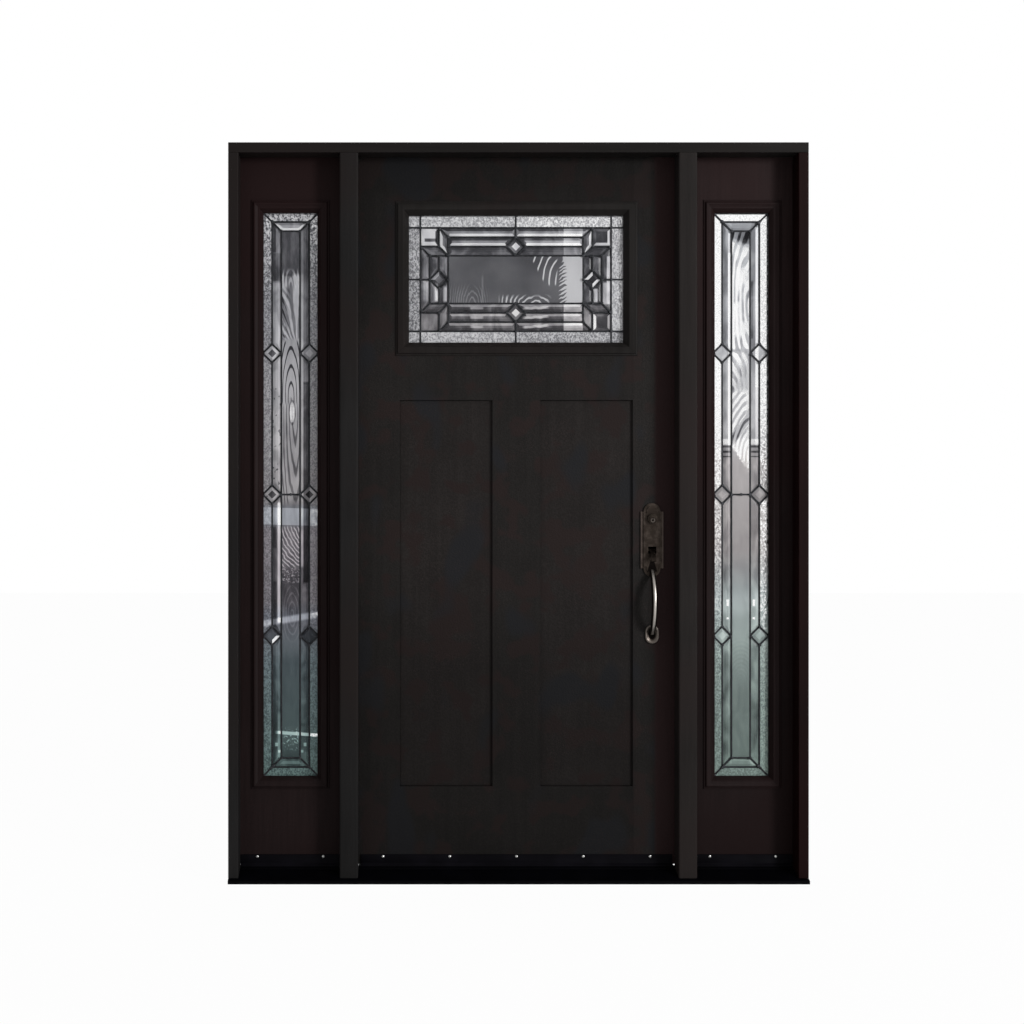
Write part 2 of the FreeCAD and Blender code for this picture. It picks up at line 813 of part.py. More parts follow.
# Fixed sidelights
def build_sidelight(side):
    prefix = f"sidelight_{side}"
    centre = mirrored(side, "slab_middle")
    half = "(slab_open_x - slab_reach)"
    foot, top = "(slab_open_foot + slab_reach)", "(slab_open_top - slab_reach)"
    slab = new_body(f"{prefix}_slab")
    outer = rectangle(mirrored(side, "slab_near"), mirrored(side, "slab_far"), "leaf_foot", "leaf_top")
    opening = rectangle(f"{centre} - slab_open_x", f"{centre} + slab_open_x", "slab_open_foot", "slab_open_top")
    upright(slab, "inside", "leaf_thick", outer, opening)
    sight = (half, foot, top)
    build_moulding(f"{prefix}_outer_moulding", slab_moulding_section(), "outer", centre, sight)
    build_moulding(f"{prefix}_inner_moulding", slab_moulding_section(), "inner", centre, sight)
    build_panes(f"{prefix}_panes", centre, sight)
    middle = read("slab_middle") if side == "right" else -read("slab_middle")
    build_leaded_panel(prefix, middle, read("slab_open_x") - read("slab_reach"),
                       read("slab_open_foot") + read("slab_reach"),
                       read("slab_open_top") - read("slab_reach"), slab_lead_lines, slab_plain_cell)


# Leaf: stiles, rails and flat panels held by tongues in grooves
def tongue_room(side):
    return rectangle(mirrored(side, "centre_x - tongue_room"), mirrored(side, "stile_x + tongue_room"),
                     "panel_foot - tongue_room", "panel_top + tongue_room")


def groove(body, *sides):
    for side in sides:
        cut_upright(body, "middle + tongue_thick / 2 + joint_clear", "tongue_thick + 2 * joint_clear",
                    tongue_room(side))


def build_leaf_frame():
    hinge_stile = new_body("hinge_stile")
    upright(hinge_stile, "inside", "leaf_thick", rectangle("-leaf_right", "-stile_x", "leaf_foot", "leaf_top"))
    groove(hinge_stile, "left")
    for height in HINGE_HEIGHTS:
        cut_loop(hinge_stile, "XY_Plane", f"{height} - hinge_height / 2", "hinge_height",
                 rectangle("-leaf_right", "-leaf_right + hinge_leaf", "inside - hinge_reach", "inside"))

    lock_stile = new_body("lock_stile")
    pad_loop(lock_stile, "XY_Plane", "leaf_foot", "leaf_height", [
        ("stile_x", "leaf_front"),
        ("leaf_right - leaf_bevel", "leaf_front"),
        ("leaf_right", "inside"),
        ("stile_x", "inside"),
    ])
    groove(lock_stile, "right")
    for height in ("latch_height", "bolt_height"):
        cut_loop(lock_stile, "XY_Plane", f"{height} - latch_plate_height / 2", "latch_plate_height",
                 edge_plate_plan())
    cut_disc(lock_stile, "XZ_Plane", "-(leaf_front + bore_depth)", "bore_depth",
             ("lock_x", "latch_height"), "lock_bore / 2")

    rails = {
        "bottom_rail": ("leaf_foot", "panel_foot"),
        "lock_rail": ("panel_top", "lite_foot"),
        "top_rail": ("lite_top", "leaf_top"),
    }
    for name, (foot, top) in rails.items():
        rail = new_body(name)
        upright(rail, "inside", "leaf_thick", rectangle("-stile_x", "stile_x", foot, top))
        if name != "top_rail":
            groove(rail, "left", "right")

    centre_stile = new_body("centre_stile")
    upright(centre_stile, "inside", "leaf_thick", rectangle("-centre_x", "centre_x", "panel_foot", "panel_top"))
    groove(centre_stile, "left", "right")


def build_panels():
    for side in ("left", "right"):
        body = new_body(f"panel_{side}")
        field = rectangle(mirrored(side, "centre_x + joint_clear"), mirrored(side, "stile_x - joint_clear"),
                          "panel_foot + joint_clear", "panel_top - joint_clear")
        upright(body, "inside - panel_recess", "leaf_thick - 2 * panel_recess", field)
        tongue = rectangle(mirrored(side, "centre_x - tongue_length"), mirrored(side, "stile_x + tongue_length"),
                           "panel_foot - tongue_length", "panel_top + tongue_length")
        upright(body, "middle + tongue_thick / 2", "tongue_thick", tongue)


def build_door_lite():
    sight = ("(stile_x - door_reach)", "(lite_foot + door_reach)", "(lite_top - door_reach)")
    build_moulding("lite_outer_moulding", door_moulding_section(), "outer", "0", sight)
    build_moulding("lite_inner_moulding", door_moulding_section(), "inner", "0", sight)
    build_panes("lite_panes", "0", sight)
    build_leaded_panel("lite", 0, read("stile_x") - read("door_reach"),
                       read("lite_foot") + read("door_reach"), read("lite_top") - read("door_reach"),
                       door_lead_lines, door_plain_cell)


def build_door_sweep():
    body = new_body("door_sweep")
    foot = "cap_top + joint_clear"
    start, length = "-(stop_x - drip_setback)", "2 * (stop_x - drip_setback)"
    pad_loop(body, "YZ_Plane", start, length, drip_section(foot))
    pad_loop(body, "YZ_Plane", start, length, rectangle("leaf_front", "cap_back - cap_slope", foot, "leaf_foot"))


# Locks: edge plates, an entrance handle with a thumb latch, a keyed cylinder, a knob and a turn
def bevel_edge(depth, inset="0"):
    """The x of the leaf's bevelled lock edge at this depth."""
    return f"leaf_right - leaf_bevel * (inside - ({depth})) / leaf_thick - ({inset})"


def edge_plate_plan():
    front, back = "middle - edge_plate_width / 2", "middle + edge_plate_width / 2"
    return [
        (bevel_edge(front), front),
        (bevel_edge(back), back),
        (bevel_edge(back, "edge_plate_thick"), back),
        (bevel_edge(front, "edge_plate_thick"), front),
    ]


def build_edge_plates():
    body = new_body("lock_edge_plates")
    for height in ("latch_height", "bolt_height"):
        pad_loop(body, "XY_Plane", f"{height} - latch_plate_height / 2", "latch_plate_height", edge_plate_plan())


def arched_plate(body, back, thick, inset):
    """A plate with square shoulders and an arch at each end, drawn in from the full size by inset."""
    start = f"-({back})"
    half = f"plate_width / 2 - {inset}"
    shoulders = rectangle(f"lock_x - ({half})", f"lock_x + {half}",
                          f"plate_foot + plate_arch + {inset} / 2", f"plate_top - plate_arch - {inset} / 2")
    pad_loop(body, "XZ_Plane", start, thick, shoulders)
    for height in ("plate_foot + plate_arch", "plate_top - plate_arch"):
        pad_disc(body, "XZ_Plane", start, thick, ("lock_x", height), f"plate_arch - {inset}")


def build_handle_plate():
    body = new_body("handle_plate")
    arched_plate(body, "leaf_front", "plate_thick", "0")
    arched_plate(body, "plate_front", "raise_thick", "plate_step")
    cut_upright(body, "leaf_front", "plate_thick + raise_thick",
                rectangle("lock_x - slot_width / 2", "lock_x + slot_width / 2",
                          "latch_height - slot_height / 2", "latch_height + slot_height / 2"))
    for side in ("left", "right"):
        near, far = mirrored(side, "lug_x"), mirrored(side, "(lug_x + lug_thick)")
        upright(body, "thumb_y + thumb_pin + thumb_ear", "thumb_y + thumb_pin + thumb_ear - leaf_front",
                rectangle(f"lock_x + {near}", f"lock_x + {far}",
                          "latch_height - thumb_pin - thumb_ear", "latch_height + thumb_pin + thumb_ear"))
    pad_disc(body, "YZ_Plane", "lock_x - lug_x - lug_thick", "2 * (lug_x + lug_thick)",
             ("thumb_y", "latch_height"), "thumb_pin")


def build_thumb_latch():
    body = new_body("thumb_latch")
    start = "lock_x - thumb_width / 2"
    tip = "plate_front - thumb_reach"
    low = "latch_height - thumb_drop"
    pad_loop(body, "YZ_Plane", start, "thumb_width", [
        ("thumb_y", "latch_height + thumb_thick / 2"),
        ("raise_front", "latch_height + thumb_thick / 2"),
        ("raise_front - thumb_bend", "latch_height - thumb_dip"),
        (f"{tip} + thumb_thick", f"{low} + thumb_thick * 2"),
        (tip, low),
        (f"{tip} + thumb_thick", f"{low} - thumb_thick / 2"),
        ("raise_front - thumb_bend", "latch_height - thumb_belly"),
        ("raise_front", "latch_height - thumb_thick / 2"),
        ("thumb_y", "latch_height - thumb_thick / 2"),
    ])
    hub, hub_width = "lock_x - lug_x + thumb_side", "2 * (lug_x - thumb_side)"
    pad_disc(body, "YZ_Plane", hub, hub_width, ("thumb_y", "latch_height"), "thumb_pin + thumb_ear")
    cut_disc(body, "YZ_Plane", hub, hub_width, ("thumb_y", "latch_height"), "thumb_pin + pin_clear")


def build_handle_grip():
    """A bow of many-sided bar from the plate to an oval foot, cut off at the plate and the stile."""
    body = new_body("handle_grip")
    path = new_sketch(body, "YZ_Plane", "lock_x")
    face, bow = read("leaf_front"), read("grip_bow")
    top, foot = read("grip_top"), read("grip_foot")
    arc = Part.Arc(Vector(face, foot, 0), Vector(face - bow, (foot + top) / 2, 0), Vector(face, top, 0))
    element = path.addGeometry(arc, False)
    hold_point(path, element, 1, (face, top), ("leaf_front", "grip_top"))
    hold_point(path, element, 2, (face, foot), ("leaf_front", "grip_foot"))
    held = path.addConstraint(Sketcher.Constraint("Radius", element, read("grip_curve")))
    path.setExpression(f"Constraints[{held}]", tied("grip_curve"))
    ring = new_sketch(body, "XY_Plane", "grip_top")
    turns = [2 * math.pi * number / GRIP_SIDES for number in range(GRIP_SIDES)]
    draw_loop(ring, [(f"lock_x + grip_radius * {math.cos(turn):.6f}",
                      f"leaf_front + grip_radius * {math.sin(turn):.6f}") for turn in turns])
    run = body.newObject("PartDesign::AdditivePipe", "handle_grip_run")
    run.Profile = ring
    run.Spine = (path, ["Edge1"])
    start = "-leaf_front"
    flat = "(foot_height - foot_width) / 2"
    pad_loop(body, "XZ_Plane", start, "foot_thick",
             rectangle("lock_x - foot_width / 2", "lock_x + foot_width / 2",
                       f"grip_foot - {flat}", f"grip_foot + {flat}"))
    for height in (f"grip_foot - {flat}", f"grip_foot + {flat}"):
        pad_disc(body, "XZ_Plane", start, "foot_thick", ("lock_x", height), "foot_width / 2")
    across, wide = "lock_x - foot_width", "2 * foot_width"
    cut_loop(body, "YZ_Plane", across, wide,
             rectangle("leaf_front", "inside", "grip_foot - foot_height", "grip_top + foot_height"))
    cut_loop(body, "YZ_Plane", across, wide,
             rectangle("raise_front", "inside", "plate_foot - joint_clear", "grip_top + foot_height"))


def build_lock_cylinder():
    body = new_body("lock_cylinder")
    face = "raise_front"
    turned(body, "bolt_height", [
        (face, "0"),
        (face, "cylinder_radius"),
        (f"{face} - cylinder_proud + face_proud", "cylinder_radius"),
        (f"{face} - cylinder_proud + face_proud", "face_radius"),
        (f"{face} - cylinder_proud", "face_radius"),
        (f"{face} - cylinder_proud", "0"),
    ])
    cut_upright(body, f"{face} - cylinder_proud + key_depth", "cylinder_proud",
                rectangle("lock_x - key_width / 2", "lock_x + key_width / 2",
                          "bolt_height - key_height / 2", "bolt_height + key_height / 2"))


def build_inner_knob():
    body = new_body("inner_knob")
    turned(body, "latch_height", [
        ("inside", "0"),
        ("inside", "rose_radius"),
        ("inside + rose_thick", "rose_radius"),
        ("inside + rose_thick", "neck_radius"),
        ("inside + knob_reach - knob_length", "neck_radius"),
        ("inside + knob_reach - knob_length", "knob_radius"),
        ("inside + knob_reach", "knob_radius"),
        ("inside + knob_reach", "0"),
    ])


def build_thumbturn():
    body = new_body("thumbturn")
    pad_disc(body, "XZ_Plane", "-(inside + rose_thick)", "rose_thick", ("lock_x", "bolt_height"), "turn_rose")
    upright(body, "inside + turn_reach", "turn_reach - rose_thick",
            rectangle("lock_x - turn_width / 2", "lock_x + turn_width / 2",
                      "bolt_height - turn_height / 2", "bolt_height + turn_height / 2"))


build_sill()
build_threshold_caps()
build_head()
build_uprights()
build_weatherstrips()
build_hinge_leaves("hinge_frame_leaves", "-rebate_x - hinge_leaf", "-rebate_x", (0, 2))
build_hinge_pins()
build_strike_plates()
build_sidelight_drips()
for side in ("left", "right"):
    build_sidelight(side)
build_leaf_frame()
build_panels()
build_door_lite()
build_door_sweep()
build_hinge_leaves("hinge_door_leaves", "-leaf_right", "-leaf_right + hinge_leaf", (1,))
build_edge_plates()
build_handle_plate()
build_handle_grip()
build_lock_cylinder()
build_inner_knob()
build_thumbturn()
build_thumb_latch()
doc.recompute()

# Nothing is written unless every object is sound and every cut removes material
for item in doc.Objects:
    if "Invalid" in item.State or "Error" in item.State:
        raise RuntimeError(f"{item.Name} failed: {item.State}")
    if item.TypeId == "PartDesign::Pocket" and item.BaseFeature.Shape.Volume - item.Shape.Volume < LEAST_CUT:
        raise RuntimeError(f"{item.Name} cuts nothing")
for part in PARTS:
    if part.Shape.isNull() or not part.Shape.isValid():
        raise RuntimeError(f"{part.Label} has no valid shape")
for part in PARTS:
    part.Shape.exportStep(f"parts/{part.Label}.step")
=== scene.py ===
import json
import math
import random

import bmesh
import bpy
from mathutils import Matrix, Vector

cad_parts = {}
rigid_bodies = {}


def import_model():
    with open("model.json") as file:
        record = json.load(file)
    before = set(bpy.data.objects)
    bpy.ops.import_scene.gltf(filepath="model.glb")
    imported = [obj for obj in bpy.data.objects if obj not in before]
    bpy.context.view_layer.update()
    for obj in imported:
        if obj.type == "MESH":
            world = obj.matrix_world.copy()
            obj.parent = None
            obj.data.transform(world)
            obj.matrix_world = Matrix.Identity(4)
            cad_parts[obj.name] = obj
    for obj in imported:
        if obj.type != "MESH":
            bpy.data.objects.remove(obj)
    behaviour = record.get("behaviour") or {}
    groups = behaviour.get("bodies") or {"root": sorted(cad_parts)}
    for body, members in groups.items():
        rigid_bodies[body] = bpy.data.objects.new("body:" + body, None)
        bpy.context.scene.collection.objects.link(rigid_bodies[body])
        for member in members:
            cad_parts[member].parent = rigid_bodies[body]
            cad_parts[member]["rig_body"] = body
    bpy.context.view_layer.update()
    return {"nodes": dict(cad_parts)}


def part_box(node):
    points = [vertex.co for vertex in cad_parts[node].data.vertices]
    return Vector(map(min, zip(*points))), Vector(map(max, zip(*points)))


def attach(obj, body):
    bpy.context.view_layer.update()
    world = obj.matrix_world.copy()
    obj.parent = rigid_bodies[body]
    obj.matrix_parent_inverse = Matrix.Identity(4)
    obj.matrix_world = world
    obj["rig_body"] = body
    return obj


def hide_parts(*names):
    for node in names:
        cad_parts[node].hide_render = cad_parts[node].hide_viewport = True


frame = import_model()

MM = 0.001      # the file is in metres


# The frame: head, side jambs and two posts of one timber section, mortised together and stained
# nearly black. The arrises are eased with a plane.
class Wire:
    """One socket of a material. Sums, products and powers of wires add their Math nodes."""

    def __init__(self, tree, socket=None):
        self.tree = tree
        self.socket = socket

    def add(self, kind, settings=None, sockets=None, out=0):
        """A node of this kind, with its settings made first and its sockets filled or linked after."""
        node = self.tree.nodes.new("ShaderNode" + kind)
        for name, value in (settings or {}).items():
            if name == "stops":
                ramp = node.color_ramp
                while len(ramp.elements) < len(value):
                    ramp.elements.new(1.0)
                for element, (place, colour) in zip(ramp.elements, value.items()):
                    element.position = place
                    element.color = (*colour, 1.0)
            else:
                setattr(node, name, value)
        for name, value in (sockets or {}).items():
            plug(node, name, value)
        return Wire(self.tree, node.outputs[out])

    def maths(self, operation, *values):
        return self.add("Math", {"operation": operation}, dict(enumerate(values)))

    def __add__(self, other):
        return self.maths("ADD", self, other)

    def __sub__(self, other):
        return self.maths("SUBTRACT", self, other)

    def __mul__(self, other):
        return self.maths("MULTIPLY", self, other)

    def __truediv__(self, other):
        return self.maths("DIVIDE", self, other)

    def __pow__(self, other):
        return self.maths("POWER", self, other)

    def __rsub__(self, other):
        return self.maths("SUBTRACT", other, self)

    def __abs__(self):
        return self.maths("ABSOLUTE", self)

    __radd__ = __add__
    __rmul__ = __mul__

    def clamped(self, low, high):
        """0 at low and 1 at high, smooth between them."""
        return self.add("MapRange", {"interpolation_type": "SMOOTHSTEP"},
                        {"Value": self, "From Min": low, "From Max": high})


def srgb(red, green, blue):
    """A colour given as 0 to 255 screen values, in linear light."""
    return tuple(((v / 255 + 0.055) / 1.055) ** 2.4 if v > 10 else v / 255 / 12.92
                 for v in (red, green, blue))


def scaled(colour, factor):
    return tuple(factor * v for v in colour)


def new_material(name):
    """A material with its shader and a wire that carries the object's own coordinates."""
    material = bpy.data.materials.new(name)
    material.use_nodes = True
    tree = material.node_tree
    shader = tree.nodes["Principled BSDF"]
    place = Wire(tree).add("TexCoord", out=3)
    return material, shader, place


def plug(node, name, value):
    """Links a wire to a socket, or sets the socket's value; a colour gets its fourth number."""
    socket = node.inputs[name]
    if isinstance(value, Wire):
        value.tree.links.new(value.socket, socket)
    else:
        socket.default_value = (*value, 1.0) if socket.type == "RGBA" else value


def axis(place, number):
    return place.add("SeparateXYZ", {}, {0: place}, out=number)


def surface(shader, colour, rough, normal=None, sheen=0.5, metal=0.0):
    """Fills the shader: each value is a number, a colour or a wire."""
    for name, value in (("Base Color", colour), ("Roughness", rough), ("Normal", normal),
                        ("Specular IOR Level", sheen), ("Metallic", metal)):
        if value is not None:
            plug(shader, name, value)


def noise(place, scale, detail=2.0, rough=0.5, distortion=0.0, x=1.0, z=1.0):
    """Noise from 0 to 1; with x or z under 1 it is drawn out across or up."""
    drawn = place.add("Mapping", {}, {"Vector": place, "Scale": (x, 1.0, z)})
    return place.add("TexNoise", {}, {"Vector": drawn, "Scale": scale, "Detail": detail,
                                      "Roughness": rough, "Distortion": distortion})


def blend_colours(factor, first, second):
    """The first colour where the factor is 0, and the second where it is 1."""
    return factor.add("Mix", {"data_type": "RGBA"}, {0: factor, 6: first, 7: second}, out=2)


def shaded(colour, factor):
    """The colour made lighter or darker by a wire that holds a factor."""
    grey = factor.add("CombineXYZ", {}, dict.fromkeys(range(3), factor))
    return colour.add("Mix", {"data_type": "RGBA", "blend_type": "MULTIPLY", "clamp_result": False},
                      {0: 1.0, 6: colour, 7: grey}, out=2)


def bumped(height, distance, strength=1.0):
    return height.add("Bump", {}, {"Height": height, "Distance": distance, "Strength": strength})


WOOD_SHEEN = 0.075
WOOD_GRAIN = {"upright": {"z": 0.045}, "level": {"x": 0.045}}


def stained_wood(name, colour, warm, grain, painted_light=(1.0, 1.0)):
    """Dark stain over open grain, low in gloss; the last argument is painted light, the factor on its tone
    at the foot and at the top.
    """
    material, shader, place = new_material(name)
    streaks = noise(place, 170, 3.0, 0.6, 0.3, **WOOD_GRAIN[grain])
    figure = noise(place, 34, 3.0, 0.55, 1.2, **WOOD_GRAIN[grain])
    patches = noise(place, 3.2, 2.0, 0.5)
    pebble = noise(place, 240, 2.0, 0.6)
    tone = (streaks * 0.35 + figure * 0.35 + patches * 0.5 + pebble * 0.25).clamped(0.45, 1.02)
    body = blend_colours(tone, scaled(colour, 0.74), scaled(colour, 1.42))
    body = blend_colours(noise(place, 2.1, 1.0).clamped(0.42, 0.68), body, warm)
    # Painted light: the colour is made darker or lighter from foot to top.
    foot, top = painted_light
    shade = foot + axis(place, 2).clamped(0.5, 1.9) * (top - foot)
    surface(shader, shaded(body, shade), 0.44 + pebble * 0.16,
            bumped(streaks * 0.5 + pebble * 0.5, 0.0007, 0.6), WOOD_SHEEN)
    return material


WELD = 0.01 * MM
ALMOST_FLAT = math.radians(0.6)


def merged_copy(node):
    """A bmesh of a CAD piece with its loose triangles joined."""
    form = bmesh.new()
    form.from_mesh(frame["nodes"][node].data)
    bmesh.ops.remove_doubles(form, verts=form.verts, dist=WELD)
    return form


def eased_copy(node, width, material, turn=28, segments=2, pierced=False):
    """A copy of a CAD piece with eased arrises, to stand for it; a pierced one keeps its triangles."""
    form = merged_copy(node)
    if not pierced:
        bmesh.ops.dissolve_limit(form, angle_limit=ALMOST_FLAT, verts=form.verts, edges=form.edges)
    body = frame["nodes"][node]["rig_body"]
    finished_piece(form, f"{node}_finished", material, body, node, width, turn, segments)


def mesh_of(form, name):
    """The mesh made from a bmesh, which is freed."""
    mesh = bpy.data.meshes.new(name)
    form.to_mesh(mesh)
    form.free()
    return mesh


def new_object(name, data):
    thing = bpy.data.objects.new(name, data)
    bpy.context.scene.collection.objects.link(thing)
    return thing


def finished_piece(form, name, material, body, node=None, width=0.0, turn=28, segments=2):
    """Makes an object of a bmesh, with eased edges, its body and the CAD node that it stands for."""
    mesh = mesh_of(form, name)
    piece = new_object(name, mesh)
    mesh.materials.append(material)
    mesh.polygons.foreach_set("use_smooth", [True] * len(mesh.polygons))
    mesh.set_sharp_from_angle(angle=math.radians(turn))
    if width:
        ease = piece.modifiers.new("eased", "BEVEL")
        ease.width = width
        ease.segments = segments
        ease.limit_method = "ANGLE"
        ease.angle_limit = math.radians(turn)
        ease.harden_normals = True
        ease.use_clamp_overlap = True
    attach(piece, body)
    if node:
        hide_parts(node)


JAMB_EASE = 1.2 * MM
JAMB_WARM = srgb(35, 30, 29)
jamb_wood = stained_wood("jamb_wood", srgb(31, 30, 30), JAMB_WARM, "upright")
# Painted shade: the right jamb takes a darker, redder copy of the jamb stain.
shaded_red_jamb_wood = stained_wood("shaded_red_jamb_wood", srgb(22, 7, 7), srgb(25, 8, 8), "upright")
head_wood = stained_wood("head_wood", srgb(29, 27, 26), JAMB_WARM, "level")
# Painted light: the right post takes a lighter copy of the jamb stain.
lit_right_post_wood = stained_wood("lit_right_post_wood", srgb(35, 32, 31), srgb(39, 33, 32), "upright")
for member, wood in (("side_jamb_left", jamb_wood), ("mullion_post_left", jamb_wood),
                     ("mullion_post_right", lit_right_post_wood), ("side_jamb_right", shaded_red_jamb_wood),
                     ("head_jamb", head_wood)):
    eased_copy(member, JAMB_EASE, wood)


# The sill: an extruded aluminium deck, black, that slopes to a rounded nose, with a black cap
# snapped into its channel in each bay. Feet scuff it, so fine scratches run along its length.
def black_metal(name, colour, rough):
    material, shader, place = new_material(name)
    scuffs = noise(place, 420, 3.0, 0.7, x=0.06)
    dust = noise(place, 14, 4.0, 0.6)
    body = blend_colours(dust.clamped(0.35, 0.8), colour, scaled(colour, 2.0))
    surface(shader, body, rough + scuffs * 0.2, bumped(scuffs, 0.0002, 0.5), 0.05)
    return material


sill_black = black_metal("sill_black", srgb(2, 2, 4), 0.42)
SILL_EASE = 0.8 * MM
CAP_EASE = 0.6 * MM
eased_copy("sill_base", SILL_EASE, sill_black)
eased_copy("threshold_caps", CAP_EASE, sill_black)


# Seals and drip strips: soft black strip in the stops, and a hooded strip along the foot of the
# leaf and of each sidelight that throws water onto the sill. Bright pan-head screws hold them.
def black_rubber(name):
    material, shader, place = new_material(name)
    grain = noise(place, 900, 2.0)
    body = blend_colours(grain, srgb(12, 12, 13), srgb(26, 26, 27))
    surface(shader, body, 0.62 + grain * 0.2, bumped(grain, 0.0002, 0.5), 0.2)
    return material


seal_black = black_rubber("seal_black")
strip_black = black_metal("strip_black", srgb(9, 8, 12), 0.36)
SEAL_EASE = 0.8 * MM
STRIP_EASE = 0.5 * MM
eased_copy("weatherstrips", SEAL_EASE, seal_black)
eased_copy("door_sweep", STRIP_EASE, strip_black)
eased_copy("sidelight_drip_caps", STRIP_EASE, strip_black)

SCREW_HEAD = 4.2 * MM
SCREW_RISE = 2.0 * MM
FIRST_TURN = 0.4


def bright_metal(name, colour, rough):
    material, shader, place = new_material(name)
    wear = noise(place, 700, 3.0)
    body = blend_colours(wear, scaled(colour, 0.8), colour)
    surface(shader, body, rough + wear * 0.15, bumped(wear, 0.00004, 0.4), metal=1.0)
    return material


def screw_heads(name, spots, facing, radius, rise, material, body):
    """Domed heads with a cross cut in them; each spot is the middle of a seat, and facing its normal."""
    form = bmesh.new()
    turn = Vector((0, 0, 1)).rotation_difference(Vector(facing)).to_matrix().to_4x4()
    for number, spot in enumerate(spots):
        head = bmesh.ops.create_uvsphere(form, u_segments=20, v_segments=10, radius=radius)["verts"]
        bmesh.ops.scale(form, verts=head, vec=(1, 1, rise / radius))
        under = [vert for vert in head if vert.co.z < -WELD / 10]
        bmesh.ops.delete(form, geom=under, context="VERTS")
        head = [vert for vert in head if vert.is_valid]
        for angle in (FIRST_TURN + number, FIRST_TURN + number + math.pi / 2):
            bar = bmesh.ops.create_cube(form, size=1.0)["verts"]
            bmesh.ops.scale(form, verts=bar, vec=(radius * 1.1, radius * 0.22, rise * 0.1))
            bmesh.ops.rotate(form, verts=bar, cent=(0, 0, 0), matrix=Matrix.Rotation(angle, 3, "Z"))
            bmesh.ops.translate(form, verts=bar, vec=(0, 0, rise))
            head += bar
        bmesh.ops.transform(form, matrix=Matrix.Translation(spot) @ turn, verts=head)
    finished_piece(form, name, material, body)


zinc = bright_metal("zinc", (0.86, 0.86, 0.84), 0.25)
sweep_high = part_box("door_sweep")[1]
cap_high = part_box("sidelight_drip_caps")[1]
slab_low, slab_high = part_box("sidelight_right_slab")
strip_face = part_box("lock_stile")[0].y
STRIP_THICK = 4 * MM
SCREW_DROP = 6 * MM
DOOR_SCREW_PITCH = 190.5 * MM
SIDELIGHT_SCREWS = 94 * MM
screw_y = strip_face - STRIP_THICK
slab_x = (slab_low.x + slab_high.x) / 2
door_spots = [Vector((DOOR_SCREW_PITCH * step, screw_y, sweep_high.z - SCREW_DROP))
              for step in range(-2, 3)]
screw_heads("sweep_screws", door_spots, (0, -1, 0), SCREW_HEAD, SCREW_RISE, zinc, "leaf")
side_spots = [Vector((side * slab_x + step * SIDELIGHT_SCREWS, screw_y, cap_high.z - SCREW_DROP))
              for side in (-1, 1) for step in (-1, 1)]
screw_heads("sidelight_screws", side_spots, (0, -1, 0), SCREW_HEAD, SCREW_RISE, zinc, "frame")


# The slabs of the sidelights: the same stain on a redder wood, fixed in their rebates, with a
# moulded stop planted round the glass inside and out and mitred at its corners.
SLAB_COLOUR = srgb(32, 23, 23)
SLAB_WARM = srgb(33, 21, 21)
# Painted light: the slabs are darker low down and lighter high up, the right one most.
SLAB_PAINTED_LIGHT = {"left": (1.0, 1.16), "right": (0.82, 1.47)}
SLAB_EASE = 0.8 * MM
MOULDING_EASE = 0.5 * MM


def moulding_wood(name, colour, warm, centre, half_width, half_height):
    """Stained wood with the thin dark line of a mitre across each corner."""
    # Painted light: a little darker at the foot and lighter at the top.
    material = stained_wood(name, colour, warm, "upright", (0.95, 1.15))
    tree = material.node_tree
    shader = tree.nodes["Principled BSDF"]
    place = Wire(tree).add("TexCoord", out=3)
    out_x = abs(axis(place, 0) - centre.x) - half_width
    out_z = abs(axis(place, 2) - centre.z) - half_height
    mitre = 1 - abs(out_x - out_z).clamped(0.0001, 0.0007)
    body = Wire(tree, shader.inputs["Base Color"].links[0].from_socket)
    plug(shader, "Base Color", blend_colours(mitre * 0.75, body, srgb(10, 8, 8)))
    return material


def dress_moulding(node, colour, warm):
    low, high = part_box(node)
    centre = (low + high) / 2
    wood = moulding_wood(f"{node}_wood", colour, warm, centre, high.x - centre.x, high.z - centre.z)
    eased_copy(node, MOULDING_EASE, wood, turn=20)


for side in ("left", "right"):
    slab_wood = stained_wood(f"slab_wood_{side}", SLAB_COLOUR, SLAB_WARM, "upright", SLAB_PAINTED_LIGHT[side])
    eased_copy(f"sidelight_{side}_slab", SLAB_EASE, slab_wood)
    for face in ("outer", "inner"):
        dress_moulding(f"sidelight_{side}_{face}_moulding", SLAB_COLOUR, SLAB_WARM)


